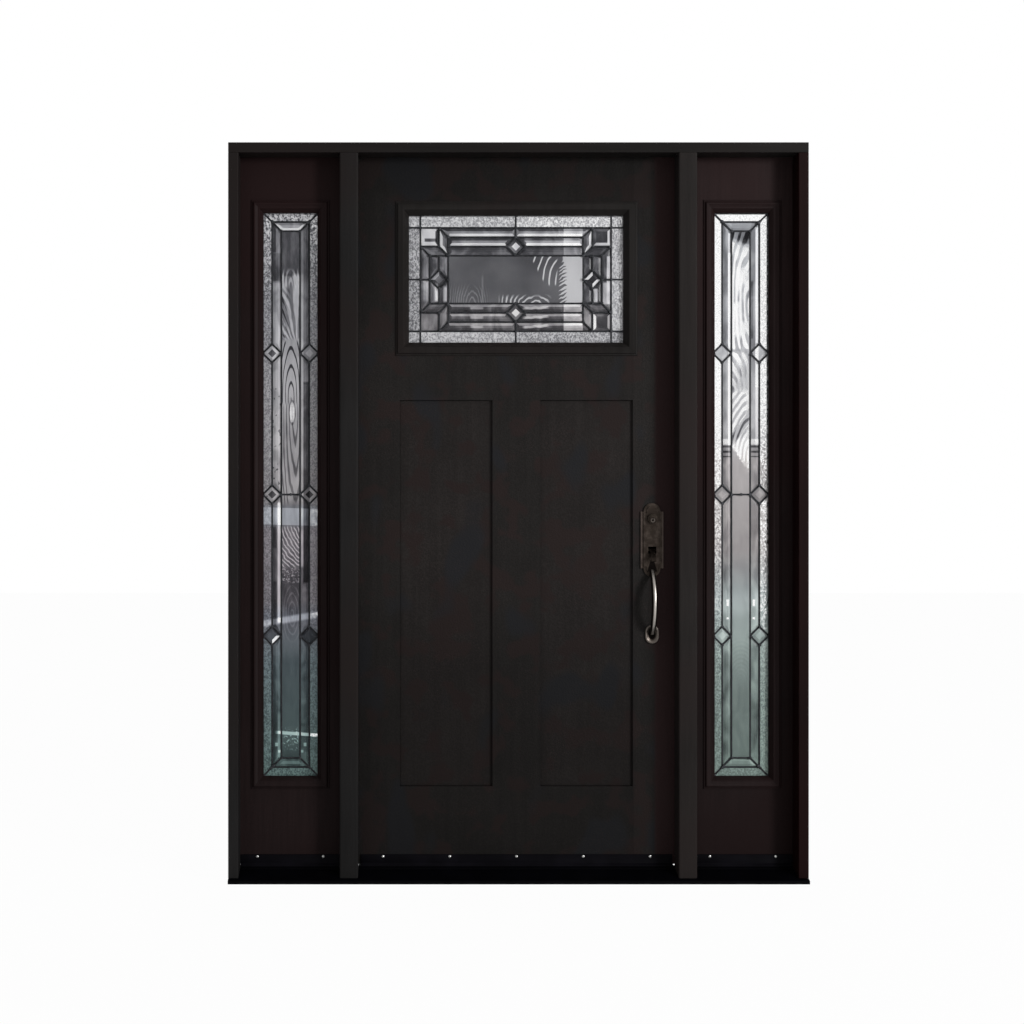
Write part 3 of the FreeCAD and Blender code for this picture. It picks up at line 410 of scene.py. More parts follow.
# The leaf: stiles, rails and two flat panels under one pebbled skin with a faint upright figure,
# stained charcoal. The panels lie back in their grooves and the edges round them are crisp.
def pebbled_skin(name, colour, warm):
    """Moulded skin: leathery pebble 3 to 6 mm across, faint upright streaks, slow patches of stain. Painted
    light makes it brightest at mid height, lighter on the lock stile and darker at the top, and a painted
    reddish shade lies on the front of its lock edge.
    """
    material, shader, place = new_material(name)
    x, y, z = (axis(place, number) for number in range(3))
    pebble = place.add("TexVoronoi", {"feature": "SMOOTH_F1"},
                       {"Vector": place, "Scale": 190, "Smoothness": 0.5})
    fine = noise(place, 360, 2.0, 0.6)
    streaks = noise(place, 60, 3.0, 0.6, 0.4, z=0.03)
    patches = noise(place, 4.5, 3.0, 0.55)
    warm_patches = noise(place, 13.0, 2.0).clamped(0.5, 0.6)
    cool_patches = noise(place, 8.0, 1.0, z=0.6).clamped(0.56, 0.66)
    overlay = noise(place, 7.0, 2.0, 0.5, 0.6).clamped(0.48, 0.62)
    tone = (pebble * 0.3 + fine * 0.3 + streaks * 0.35 + patches * 0.5).clamped(0.5, 1.05)
    body = blend_colours(tone, scaled(colour, 0.78), scaled(colour, 1.36))
    body = blend_colours(cool_patches, blend_colours(warm_patches, body, warm), COOL_STAIN)
    body = blend_colours(fine.clamped(0.56, 0.72) * overlay * 0.5, body, scaled(warm, 2.6))
    # Painted light: brightest at mid height, lighter on the lock stile, darker at the top.
    painted_light = 1.2 - abs(z - LEAF_MOST_LIT).clamped(0.25, 0.75) * 0.4
    painted_light = painted_light + x.clamped(LIT_STILE, LIT_STILE + 0.005) * 0.14
    painted_light = painted_light - z.clamped(TOP_SHADE - 0.04, TOP_SHADE) * 0.1
    # Painted shade: the front of the lock edge beside the right post takes a redder tone.
    outside = 1 - y.clamped(LEAF_MIDDLE - 0.005, LEAF_MIDDLE + 0.005)
    edge = x.clamped(SHADE_EDGE, SHADE_EDGE + 0.012)
    surface(shader, blend_colours(edge * outside, shaded(body, painted_light), SHADE_BAND_RED), 0.46 + fine * 0.16,
            bumped(pebble * 0.8 + fine * 0.6 + streaks * 0.4, 0.0009, 0.6), WOOD_SHEEN)
    return material


LEAF_COLOUR = srgb(31, 29, 28)
LEAF_WARM = srgb(36, 29, 28)
COOL_STAIN = srgb(31, 31, 33)
# The red of the painted shade by the right post, the height where the painted light is strongest, and the
# height above which the leaf is painted darker.
SHADE_BAND_RED = srgb(45, 32, 32)
LEAF_MOST_LIT = 1.2
TOP_SHADE = 1.97
LIT_STILE = 0.333
SHADE_EDGE = 0.39
LEAF_MIDDLE = sum(corner.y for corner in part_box("lock_stile")) / 2
LEAF_EASE = 0.35 * MM
PANEL_EASE = 0.8 * MM
leaf_skin = pebbled_skin("leaf_skin", LEAF_COLOUR, LEAF_WARM)
panel_skin = pebbled_skin("panel_skin", srgb(34, 31, 30), LEAF_WARM)
for member in ("hinge_stile", "lock_stile", "top_rail", "lock_rail", "bottom_rail", "centre_stile"):
    eased_copy(member, LEAF_EASE, leaf_skin)
for side in ("left", "right"):
    eased_copy(f"panel_{side}", PANEL_EASE, panel_skin)
for face in ("outer", "inner"):
    dress_moulding(f"lite_{face}_moulding", LEAF_COLOUR, LEAF_WARM)


# The sealed panes: a clear sheet each side of the leaded panel, so faint that only their sheen
# shows, bedded in the mouldings.
def clear_pane(name):
    material, shader, place = new_material(name)
    ripple = noise(place, 3.0, 1.0)
    surface(shader, srgb(16, 20, 20), 0.04, bumped(ripple, 0.0004, 0.2))
    plug(shader, "Alpha", 0.008 + ripple * 0.008)
    return material


pane_glass = clear_pane("pane_glass")
for node in ("lite_panes", "sidelight_left_panes", "sidelight_right_panes"):
    frame["nodes"][node].data.materials.clear()
    frame["nodes"][node].data.materials.append(pane_glass)


# The came: lead strip, black with patina, leaded round every piece of glass and soldered where the
# strips meet. Its faces are rounded, and each joint has a flat blob of solder.
def lead_metal(name, colour):
    material, shader, place = new_material(name)
    blotch = noise(place, 130, 3.0, 0.6)
    fine = noise(place, 1500, 2.0)
    body = blend_colours(blotch.clamped(0.3, 0.75), colour, scaled(colour, 2.6))
    surface(shader, body, 0.38 + blotch * 0.25, bumped(blotch + fine * 0.4, 0.0002, 0.5), metal=0.6)
    return material


came_lead = lead_metal("came_lead", srgb(34, 35, 38))
solder = lead_metal("solder", srgb(44, 45, 48))
CAME_EASE = 1.6 * MM
PANELS = ("lite", "sidelight_left", "sidelight_right")
for panel in PANELS:
    eased_copy(f"{panel}_came", CAME_EASE, came_lead, segments=3, pierced=True)


# The leaded glass: bevelled strips, knots and diamonds, a granular border and streaky middles, each
# piece cut to its came. What a bevel shows depends on the way it slopes, so each slope is given a tone of
# painted light and shade.
def pieces_of_glass(node):
    """The loose cells of a leaded panel, each as its own list of faces in one bmesh."""
    form = merged_copy(node)
    tones = form.faces.layers.float.new("tone")
    waiting, cells = set(form.faces), []
    while waiting:
        cell, edge_of_search = [], [waiting.pop()]
        while edge_of_search:
            face = edge_of_search.pop()
            cell.append(face)
            near = {other for edge in face.edges for other in edge.link_faces if other in waiting}
            waiting -= near
            edge_of_search += near
        cells.append(cell)
    cells.sort(key=lambda cell: tuple(round(v, 4) for v in middle_of(cell)))
    return form, cells, tones


def box_of(cell):
    spots = [vert.co for face in cell for vert in face.verts]
    return [Vector(pick(spot[i] for spot in spots) for i in range(3)) for pick in (min, max)]


def middle_of(cell):
    low, high = box_of(cell)
    return (low + high) / 2


def size_of(cell):
    low, high = box_of(cell)
    return high.x - low.x, high.z - low.z


JOINT_REACH = 7 * MM
BLOB_RADIUS = 4.2 * MM
BLOB_RISE = 0.7 * MM


def solder_joints(panel):
    """A flat blob of solder on both faces of the came wherever corners of two cells or more meet."""
    form, cells, _ = pieces_of_glass(f"{panel}_leaded_glass")
    joints = []
    for number, cell in enumerate(cells):
        sides = [face for face in cell if abs(face.normal.y) < 0.1]
        for spot in {tuple(round(v, 4) for v in vert.co.xz) for face in sides for vert in face.verts}:
            near = [joint for joint in joints if math.dist(joint[0], spot) < JOINT_REACH]
            if near:
                spots, owners = near[0][1:]
                spots.append(spot)
                owners.add(number)
                near[0][0] = [sum(place[i] for place in spots) / len(spots) for i in range(2)]
            else:
                joints.append([spot, [spot], {number}])
    form.free()
    low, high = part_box(f"{panel}_came")
    blob_form = bmesh.new()
    blob = bmesh.ops.create_uvsphere(blob_form, u_segments=14, v_segments=8, radius=BLOB_RADIUS)["verts"]
    bmesh.ops.scale(blob_form, verts=blob, vec=(1, BLOB_RISE / BLOB_RADIUS, 1))
    blob_mesh = mesh_of(blob_form, "blob")
    blobs, moved = bmesh.new(), Vector((0, 0, 0))
    for middle, _, owners in joints:
        for y in (low.y, high.y) if len(owners) > 1 else ():
            spot = Vector((middle[0], y, middle[1]))
            blob_mesh.transform(Matrix.Translation(spot - moved))
            blobs.from_mesh(blob_mesh)
            moved = spot
    bpy.data.meshes.remove(blob_mesh)
    came = f"{panel}_came"
    finished_piece(blobs, f"{panel}_solder", solder, frame["nodes"][came]["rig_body"], turn=60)


for panel in PANELS:
    solder_joints(panel)

KINDS = ("granular", "bevelled", "streaky")
UNEVEN = 0.06


def toned_glass(node, kind_of, painted_light_of, materials):
    """Gives every face of every cell its tone of painted light and shade, with a little random unevenness,
    and every cell its kind of glass.
    """
    form, cells, tones = pieces_of_glass(node)
    low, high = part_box(node)
    centre = (low + high) / 2
    for cell in cells:
        spot, size = middle_of(cell) - centre, size_of(cell)
        kind = kind_of(spot, size)
        shift = random.Random(round(spot.x * 9000 + spot.z * 7000)).uniform(-UNEVEN, UNEVEN)
        for face in cell:
            face.material_index = KINDS.index(kind)
            face[tones] = 1.0 if face.normal.y > 0.5 else shift + painted_light_of(kind, spot, size, face.normal)
    mesh = mesh_of(form, f"{node}_finished")
    if "custom_normal" in mesh.attributes:
        mesh.attributes.remove(mesh.attributes["custom_normal"])
    piece = new_object(f"{node}_finished", mesh)
    for material in materials:
        mesh.materials.append(material)
    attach(piece, frame["nodes"][node]["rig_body"])
    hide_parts(node)


GREYS = {0.0: srgb(32, 32, 35), 0.22: srgb(78, 78, 82), 0.42: srgb(148, 148, 152),
         0.65: srgb(210, 210, 213), 1.0: srgb(253, 253, 253)}
CLEAR = {0.0: (1.0, 1.0, 1.0)}


def along(share, stops):
    """A value that follows the stops as the share goes from 0 to 1."""
    greys = {at: (value, value, value) for at, value in stops.items()}
    return share.add("ValToRGB", {"stops": greys}, {0: share})


def share_of_height(place, node):
    low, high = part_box(node)
    return (axis(place, 2) - low.z) / (high.z - low.z)


def within(value, low, high, soft):
    """1 between low and high, 0 outside, with soft edges."""
    return value.clamped(low - soft, low + soft) * (1 - value.clamped(high - soft, high + soft))


def glass_material(name, node, tints, level_of, rough):
    """Glass whose brightness is the tone of each face with a pattern; the brightest lets light through."""
    material, shader, place = new_material(name)
    tone = place.add("Attribute", {"attribute_type": "GEOMETRY", "attribute_name": "tone"}, out=2)
    share = share_of_height(place, node)
    level = level_of(place, tone, share)
    grey = level.add("ValToRGB", {"stops": GREYS}, {0: level})
    tint = share.add("ValToRGB", {"stops": tints}, {0: share})
    colour = grey.add("Mix", {"data_type": "RGBA", "blend_type": "MULTIPLY"},
                      {0: 1.0, 6: grey, 7: tint}, out=2)
    surface(shader, colour, rough, sheen=0.15)
    plug(shader, "Alpha", 1.0 - level.clamped(0.6, 1.0) * 0.96)
    return material, shader, place


def granular_glass(name, node, tints, profile, contrast, extra=None):
    """Border glass pressed with small irregular grains that sparkle light and dark."""
    def level_of(place, tone, share):
        fleck = noise(place, 250, 1.0, 0.6, 0.6, z=0.75).clamped(0.36, 0.66)
        level = along(share, profile) + tone + (fleck - 0.5) * along(share, contrast)
        return level + extra(place) if extra else level
    material, shader, place = glass_material(name, node, tints, level_of, 0.25)
    grain = place.add("TexVoronoi", {"feature": "F1"}, {"Vector": place, "Scale": 170})
    plug(shader, "Normal", bumped(grain, 0.0012, 0.6))
    return material


def bevelled_glass(name, node, tints, profile, cloudy, extra):
    """Clear bevels: each slope keeps one tone, with soft cloudy streaks across it."""
    def level_of(place, tone, share):
        cloud = noise(place, 42, 2.0, 0.5, 1.0, x=0.5, z=0.35)
        return along(share, profile) + tone + (cloud - 0.5) * cloudy + extra(place)
    return glass_material(name, node, tints, level_of, 0.22)[0]


def streaky_glass(name, node, tints, level_of):
    """Rolled glass with a slow swirl; what it shows is drawn by level_of."""
    material, shader, place = glass_material(name, node, tints, level_of, 0.1)
    swirl = noise(place, 30, 2.0, 0.5, 2.0, z=0.3)
    plug(shader, "Normal", bumped(swirl, 0.002, 0.3))
    return material


def from_point(place, x, z=0.0):
    """How far across and how far up from this point the surface lies."""
    return axis(place, 0) - x, axis(place, 2) - z


def marks(x, z, columns):
    """Soft oblongs: each column has its span and softness across, then rows of the same and a level."""
    return sum(within(x, *across) * sum(within(z, *row[:3]) * row[3] for row in rows)
               for across, rows in columns)


def arches(place, centre, pitch, stretch, distortion):
    """Nested arches round a centre, as in figured timber: 1 on each line and 0 between."""
    x, z = centre
    sized = place.add("Mapping", {}, {"Vector": place, "Scale": (1, 0, stretch),
                                      "Location": (-x, 0, -z * stretch)})
    return sized.add("TexWave", {"wave_type": "RINGS", "rings_direction": "Y"},
                     {"Vector": sized, "Scale": math.pi / (10 * pitch), "Distortion": distortion,
                      "Detail": 2.0, "Detail Scale": 1.2 / pitch / 100, "Detail Roughness": 0.5}, out=1)


def fan(place, centre, count, wander):
    """Strokes that spread from a centre, 1 on each stroke and 0 between."""
    x, z = from_point(place, *centre)
    drift = noise(place, 70, 2.0, z=0.2) * wander
    swing = x.maths("ARCTAN2", x, z) * count + drift
    return swing.maths("SINE", swing) * 0.5 + 0.5


DOOR_GLASS = "lite_leaded_glass"
door_height = sum(corner.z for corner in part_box(DOOR_GLASS)) / 2
DOOR_BAND = 81.75 * MM
BAND_PITCH = 26.7 * MM


def door_streaks(place, tone, share):
    """Curved wisps hanging from the top right, a flame at the foot, and a pale feathered zone."""
    x, z = from_point(place, 0.0, door_height)
    cloud = noise(place, 9, 2.0) - 0.5
    hanging = arches(place, (0.2, door_height - 0.02), 0.019, 0.9, 4.5).clamped(0.8, 0.98)
    reach = 0.066 - x.clamped(0.02, 0.095) * 0.082
    hanging_zone = (z - reach + cloud * 0.03).clamped(0.0, 0.012) * within(x, 0.03, 0.118, 0.004)
    left_arches = arches(place, (-0.125, door_height - 0.105), 0.0062, 0.3, 3.5).clamped(0.6, 0.95)
    left_zone = (1 - z.clamped(-0.05, -0.005)) * (1 - x.clamped(-0.1, -0.07))
    flame = arches(place, (0.06, door_height - 0.1), 0.0125, 0.8, 8.0).clamped(0.55, 0.88)
    flame_zone = (1 - z.clamped(-0.055, -0.04)) * within(x, -0.045, 0.095, 0.01)
    feather = arches(place, (0.33, door_height - 0.36), 0.0098, 1.0, 5.5)
    pale = (x + (feather - 0.5) * 0.023 * (1 - z.clamped(0.03, 0.06))).clamped(0.133, 0.137)
    body = tone + 0.22 + cloud * 0.14 + left_arches * left_zone * 0.1 + flame * flame_zone * 0.36
    body = body + within(x, -0.098, -0.093, 0.001) * within(z, -0.07, 0.01, 0.01) * 0.06
    return body + hanging * hanging_zone * 0.42 * (1 - pale) + pale * (0.34 + cloud * 0.1)


# Painted highlights along the door's bevels, with one painted dark line.
DOOR_PAINTED_LINES = (
    ((0.261, 0.2715, 0.001), ((-0.07, 0.067, 0.003, 0.4),)),
    ((0.2505, 0.262, 0.001), ((-0.07, -0.009, 0.003, 0.28),)),
    ((0.2225, 0.2345, 0.001), ((-0.065, -0.026, 0.003, 0.5),)),
    ((-0.2325, -0.2225, 0.002), ((-0.062, -0.01, 0.006, 0.3),)),
    ((-0.2075, -0.197, 0.002), ((-0.064, -0.02, 0.006, 0.26),)),
    ((-0.266, -0.25, 0.002), ((-0.06, 0.0, 0.006, 0.12),)),
    ((-0.2615, -0.227, 0.001), ((0.1086, 0.118, 0.001, -0.4),)))


def door_painted_gleams(place):
    """Painted light: the bevels right of the middle pane's edge are bright, with short painted gleams along
    the lower bands and painted lines, bright and one dark.
    """
    x, z = from_point(place, 0.0, door_height)
    bright = within(x, 0.1375, 0.192, 0.0015) * (0.34 - z.clamped(-0.03, 0.03) * 0.14)
    phase = (z + DOOR_BAND) * (2 * math.pi / BAND_PITCH)
    swing = phase + (noise(place, 30, 1.0, z=0.1) - 0.5) * 3.0
    dash = swing.maths("COSINE", swing).clamped(0.45, 0.85) * (1 - z.clamped(-0.062, -0.055))
    reach = within(x, -0.13, -0.094, 0.004) * 0.6 + within(x, 0.022, 0.092, 0.007)
    return bright + marks(x, z, DOOR_PAINTED_LINES) + dash * reach * 0.36


BORDER_X, BORDER_Z = 0.274, 0.149
FLAT_FACE = 0.98


def door_kind(spot, size):
    if abs(spot.x) > BORDER_X or abs(spot.z) > BORDER_Z:
        return "granular"
    return "streaky" if abs(spot.x) < 0.01 and abs(spot.z) < 0.01 else "bevelled"


def facing_middle(spot, size, normal):
    """1 where a slope looks across its strip towards the middle of the panel, -1 where it looks away."""
    flat = math.hypot(normal.x, normal.z)
    across, away = (normal.z, spot.z) if size[0] > size[1] else (normal.x, spot.x)
    return round(across * -math.copysign(1, away) / flat) if flat > 0.05 else 0


def is_square(size):
    return abs(size[0] - size[1]) < 4 * MM


# Painted light and shade: each piece and slope of the door's glass gets a tone by where it lies and which
# way it faces.
def door_painted_light(kind, spot, size, normal):
    is_flat = abs(normal.y) > FLAT_FACE
    if kind == "granular":
        return 0.02 if spot.z > BORDER_Z else -0.06 if spot.z < -BORDER_Z else 0.04 if spot.x > 0 else -0.09
    if kind == "streaky":
        return 0.0
    if is_square(size) and min(abs(spot.x), abs(spot.z)) < 0.01:
        return diamond_painted_light(spot, normal, is_flat)
    if min(size) > 0.04 and max(size) < 0.056:
        return square_painted_light(spot, normal, is_flat)
    facing = facing_middle(spot, size, normal)
    if abs(spot.x) > 0.19 and abs(spot.z) < 0.09:
        return -0.06 + 0.04 * facing - (0.06 if spot.x > 0 else 0)
    if size[0] > 0.1 and abs(normal.x) > 0.4 * abs(normal.z) and not is_flat:
        return -0.14 if spot.z < 0.12 else 0.1
    if size[1] > size[0]:
        return 0.0 if is_flat else 0.04 * facing if spot.z < 0 else 0.36 if facing < 0 else -0.08
    if size[0] < 0.1 and spot.x > 0 and spot.z > 0:
        return 0.25 if normal.z < -0.05 else -0.02
    if spot.z < 0.05:
        return -0.08 if is_flat else 0.14 * facing
    if spot.z < 0.09 and size[0] > 0.1:
        return -0.07 + 0.05 * facing
    return 0.08 if is_flat else facing * (0.4 if facing > 0 else 0.14)


def square_painted_light(spot, normal, is_flat):
    """Corner squares in painted light and shade: pale with a dark right slope on the left, dark with bright
    slopes on the right.
    """
    if spot.x < 0:
        if is_flat:
            return 0.28 if spot.z > 0 else 0.04
        return 0.3 if spot.z > 0 >= normal.x - 0.05 else -0.2 if spot.z > 0 else 0.04
    if is_flat:
        return -0.16
    if spot.z > 0:
        return -0.05 if normal.z > 0.05 or normal.x < -0.05 else 0.36
    return 0.44 if normal.x < -0.05 else 0.16 if normal.x > 0.05 else -0.1


def diamond_painted_light(spot, normal, is_flat):
    """In painted light and shade, diamonds over and under the middle have a bright table, and those beside
    it a dark one.
    """
    if abs(spot.x) < 0.01:
        return 0.36 if is_flat else -0.14 if normal.z > 0 else -0.04
    if spot.x < 0:
        return -0.08 if is_flat else 0.1 if normal.z > 0 > normal.x else -0.22
    return -0.22 if is_flat else 0.45 if normal.x * normal.z < 0 else -0.15


DOOR_TINTS = {0.0: (1.0, 0.965, 0.95), 0.27: (1.0, 0.965, 0.955), 0.33: (1.0, 0.99, 1.0),
              1.0: (0.985, 0.985, 1.0)}
DOOR_GRAINS = {0.0: 0.58, 1.0: 0.6}
DOOR_GRAIN_CONTRAST = {0.0: 0.29, 1.0: 0.31}
DOOR_BEVELS = {0.0: 0.36, 1.0: 0.36}
toned_glass(DOOR_GLASS, door_kind, door_painted_light, (
    granular_glass("lite_granular_glass", DOOR_GLASS, CLEAR, DOOR_GRAINS, DOOR_GRAIN_CONTRAST),
    bevelled_glass("lite_bevelled_glass", DOOR_GLASS, DOOR_TINTS, DOOR_BEVELS, 0.5, door_painted_gleams),
    streaky_glass("lite_streaky_glass", DOOR_GLASS, CLEAR, door_streaks)))


def slab_kind(spot, size):
    if abs(spot.x) > 0.055 and size[1] > 0.1:
        return "granular"
    if abs(spot.x) < 0.01 and size[1] > 0.2:
        return "streaky"
    return "granular" if abs(spot.z) > 0.782 else "bevelled"


def left_painted_light(kind, spot, size, normal):
    """Painted light and shade: the left strip is bright and the right one dark, each with a bright slope by
    the middle.
    """
    is_flat = abs(normal.y) > FLAT_FACE
    if kind != "bevelled":
        return 0.05 if kind == "granular" and spot.x > 0.05 else 0.0
    if is_square(size):
        if spot.z < -0.2:
            return 0.5 if spot.x < 0 and normal.x > 0.05 and normal.z < -0.05 else -0.14
        if spot.x > 0 and spot.z > 0.2:
            return 0.14 if is_flat else 0.04 + 0.1 * normal.z
        return -0.2 if is_flat else 0.14 + 0.1 * normal.z
    if size[0] > size[1]:
        return 0.05 if is_flat else 0.3 if spot.z > 0 > normal.z + 0.05 else -0.05
    return 0.0 if is_flat else 0.03 if spot.x * normal.x < 0 else -0.06


def right_painted_light(kind, spot, size, normal):
    """Painted light and shade: pale diamonds, and a border that is brighter low down on the right than on
    the left.
    """
    is_flat = abs(normal.y) > FLAT_FACE
    if kind != "bevelled":
        if kind == "streaky":
            return 0.0
        return (0.07 if spot.x > 0 else -0.02) if spot.z < -0.1 else -0.07 if spot.x > 0.05 else 0.0
    if is_square(size):
        return 0.1 if is_flat else 0.14 - 0.14 * normal.x if spot.z > 0.2 else 0.02 - 0.05 * normal.x
    if size[0] > size[1]:
        return 0.0 if is_flat else 0.15 * normal.z
    return 0.0 if is_flat else 0.04 if spot.x * normal.x < 0 else -0.04


LEFT = "sidelight_left_leaded_glass"
# The left middle glass's ground by height, with soft pale bands that are painted reflections.
LEFT_GROUND_AND_REFLECTIONS = {0.0: 0.16, 0.06: 0.26, 0.2: 0.25, 0.24: 0.31, 0.3: 0.26, 0.35: 0.2, 0.375: 0.29,
               0.48: 0.34, 0.5: 0.52, 0.6: 0.47, 0.7: 0.6, 0.77: 0.52, 0.888: 0.46, 0.892: 0.24,
               1.0: 0.235}
LEFT_BEVELS = {0.0: 0.28, 0.14: 0.24, 0.2: 0.26, 0.24: 0.32, 0.28: 0.28, 0.35: 0.24, 0.44: 0.3,
               0.5: 0.38, 0.86: 0.44, 0.89: 0.32, 1.0: 0.4}
LEFT_GRAINS = {0.0: 0.32, 0.22: 0.34, 0.33: 0.35, 0.44: 0.38, 0.6: 0.41, 0.85: 0.43, 1.0: 0.5}
LEFT_GRAIN_CONTRAST = {0.0: 0.16, 0.5: 0.14, 0.8: 0.22, 1.0: 0.55}
# Tints by height; the teal low down is a painted reflection.
LEFT_TINTS_AND_REFLECTION = {0.0: (0.66, 1.0, 0.9), 0.2: (0.76, 0.98, 1.0), 0.27: (0.9, 0.93, 1.0),
              0.286: (0.86, 0.91, 1.0), 0.31: (1.0, 0.94, 0.97), 0.44: (1.0, 0.93, 0.96),
              0.447: (0.9, 0.94, 1.0), 0.476: (0.9, 0.94, 1.0), 0.485: (1.0, 0.96, 0.95),
              0.8: (0.98, 0.98, 1.0)}
ABOVE_ALL = 3.0
# Painted glints on the left panel.
LEFT_PAINTED_GLINTS = (
    ((0.029, 0.036, 0.001), ((0.353, 0.36, 0.001, 0.3),)),
    ((0.037, 0.045, 0.001), ((0.371, 0.381, 0.001, 0.3),)))
# Painted light and shade along the left panel's bevel strips.
LEFT_MARKS = (
    ((-0.054, -0.041, 0.001), ((0.94, 1.0, 0.004, -0.14), (0.715, 0.843, 0.004, -0.14))),
    ((-0.054, -0.042, 0.001), ((1.7875, ABOVE_ALL, 0.0025, -0.14),)),
    ((-0.054, -0.0265, 0.0005), ((1.7, 1.785, 0.002, -0.09),)),
    ((-0.038, -0.0275, 0.001), ((0.725, 1.07, 0.004, 0.34), (0.33, 0.465, 0.01, 0.14))),
    ((0.0265, 0.036, 0.001), ((0.885, 1.725, 0.006, 0.12), (0.885, 0.99, 0.006, 0.16))),
    ((0.036, 0.054, 0.001), ((0.84, 1.415, 0.004, -0.22), (1.41, ABOVE_ALL, 0.005, -0.1))))


def left_painted_reflections(place):
    """Painted reflections across the whole left panel: a broad pale band, a slanting one, a bright line low
    down, and painted glints.
    """
    x, z = from_point(place, -slab_x)
    broad = within(z + x * 0.03, 1.005, 1.054, 0.001) * 0.2
    slanting = within(z - x * 0.17, 0.727, 0.745, 0.005) * 0.28
    line = within(z + x * 0.07, 0.4035, 0.4125, 0.001) * x.clamped(-0.05, -0.03) * 0.47
    glints = noise(place, 70, 2.0, 0.6, 2.0).clamped(0.57, 0.61) * within(z, 0.362, 0.424, 0.006)
    glints = glints * (1 - abs(x).clamped(0.018, 0.024)) * 0.3
    return broad + slanting + line + glints + marks(abs(x), z, LEFT_PAINTED_GLINTS)


def left_lines(place):
    """Painted light and shade on the bevel strips: the left strip is pale with a white line low down, and
    the right one dark with a pale line.
    """
    x, z = from_point(place, -slab_x)
    patches = noise(place, 26, 1.0, z=0.55).clamped(0.44, 0.56) - 0.5
    pale = within(x, -0.054, -0.0265, 0.0005) * within(z, 1.075, 1.705, 0.003) * 0.11
    ticks = noise(place, 95, 1.0, z=0.8).clamped(0.64, 0.68) * within(z, 1.08, 1.4, 0.01)
    ticks = ticks * (0.3 - x.clamped(-0.01, 0.01) * 0.3)
    return left_painted_reflections(place) + marks(x, z, LEFT_MARKS) + pale * (1 + patches) - ticks


def left_streaks(place, tone, share):
    """Strokes fanned out under a pale scalloped edge, pointed ovals, then fern strokes and faint loops."""
    x, z = from_point(place, -slab_x)
    spread = fan(place, (-slab_x + 0.02, 1.5), 34, 5.0).clamped(0.2, 0.8) - 0.6
    wedge = fan(place, (-slab_x - 0.09, 1.78), 60, 4.0).clamped(0.3, 0.6) - 1.0
    ovals = arches(place, (-slab_x + 0.001, 1.365), 0.0082, 0.17, 1.6).clamped(0.02, 0.22) - 1.0
    strands = arches(place, (-slab_x + 0.012, 1.32), 0.008, 0.1, 3.5).clamped(0.05, 0.45) - 0.9
    ferns = arches(place, (-slab_x + 0.07, 1.03), 0.0085, 0.75, 4.5).clamped(0.6, 0.95)
    loops = arches(place, (-slab_x + 0.004, 0.75), 0.007, 0.3, 1.5).clamped(0.7, 0.95)
    scallop = arches(place, (-slab_x, 1.69), 0.009, 0.25, 2.0).clamped(0.5, 0.9)
    sparkle = noise(place, 170, 2.0, 0.6, 0.8).clamped(0.5, 0.66)
    level = along(share, LEFT_GROUND_AND_REFLECTIONS) + left_painted_reflections(place)
    for pattern, gain, zone in (
            (spread, 0.26, (1.54, 1.725, 0.006)), (ovals, 0.4, (1.355, 1.53, 0.008)),
            (strands, 0.22, (1.07, 1.35, 0.012)), (ferns, 0.36, (0.885, 1.0, 0.006)),
            (sparkle, 0.34, (0.84, 0.882, 0.004)), (loops, 0.06, (0.68, 0.83, 0.02)),
            (scallop, 0.2, (1.69, 1.735, 0.01))):
        level = level + pattern * gain * within(z, *zone)
    level = level + wedge * 0.28 * (1 - x.clamped(-0.024, 0.006)) * within(z, 1.54, 1.68, 0.02)
    across, up = (x - 0.004) / 0.008, (z - 1.328) / 0.03
    pale_oval = across * across + up * up
    level = level + (1 - pale_oval.clamped(0.7, 1.0)) * 0.3 - within(pale_oval, 1.0, 1.5, 0.2) * 0.15
    broken = noise(place, 75, 2.0, z=0.25) - 0.5
    return level + broken * (0.06 + z.clamped(0.68, 0.74) * 0.16)


toned_glass(LEFT, slab_kind, left_painted_light, (
    granular_glass("left_granular_glass", LEFT, LEFT_TINTS_AND_REFLECTION, LEFT_GRAINS, LEFT_GRAIN_CONTRAST, left_painted_reflections),
    bevelled_glass("left_bevelled_glass", LEFT, LEFT_TINTS_AND_REFLECTION, LEFT_BEVELS, 0.36, left_lines),
    streaky_glass("left_streaky_glass", LEFT, LEFT_TINTS_AND_REFLECTION, left_streaks)))

RIGHT = "sidelight_right_leaded_glass"
RIGHT_GROUND = {0.0: 0.27, 0.055: 0.35, 0.14: 0.35, 0.2: 0.41, 0.235: 0.5, 0.3: 0.5, 0.34: 0.48,
                0.41: 0.48, 0.48: 0.53, 0.56: 0.56, 1.0: 0.6}
RIGHT_BEVELS = {0.0: 0.36, 0.14: 0.35, 0.18: 0.38, 0.23: 0.48, 0.3: 0.55, 0.36: 0.42, 0.44: 0.44,
                0.55: 0.44, 0.58: 0.4, 0.6: 0.5, 0.72: 0.5, 0.85: 0.45, 0.93: 0.45, 1.0: 0.42}
RIGHT_GRAINS = {0.0: 0.42, 0.13: 0.42, 0.24: 0.52, 0.31: 0.58, 0.4: 0.63, 0.48: 0.7, 0.57: 0.84,
                0.64: 0.96, 1.0: 0.98}
RIGHT_GRAIN_CONTRAST = {0.0: 0.14, 0.25: 0.22, 0.3: 0.34, 0.5: 0.4, 0.57: 0.5, 0.66: 0.28,
                        1.0: 0.24}
RIGHT_TINTS = {0.0: (0.76, 1.0, 0.86), 0.2: (0.82, 1.0, 0.9), 0.33: (0.9, 1.0, 0.97),
               0.4: (1.0, 0.94, 0.9), 0.56: (1.0, 0.95, 0.92), 0.6: (1.0, 1.0, 1.0),
               1.0: (0.95, 0.98, 1.0)}
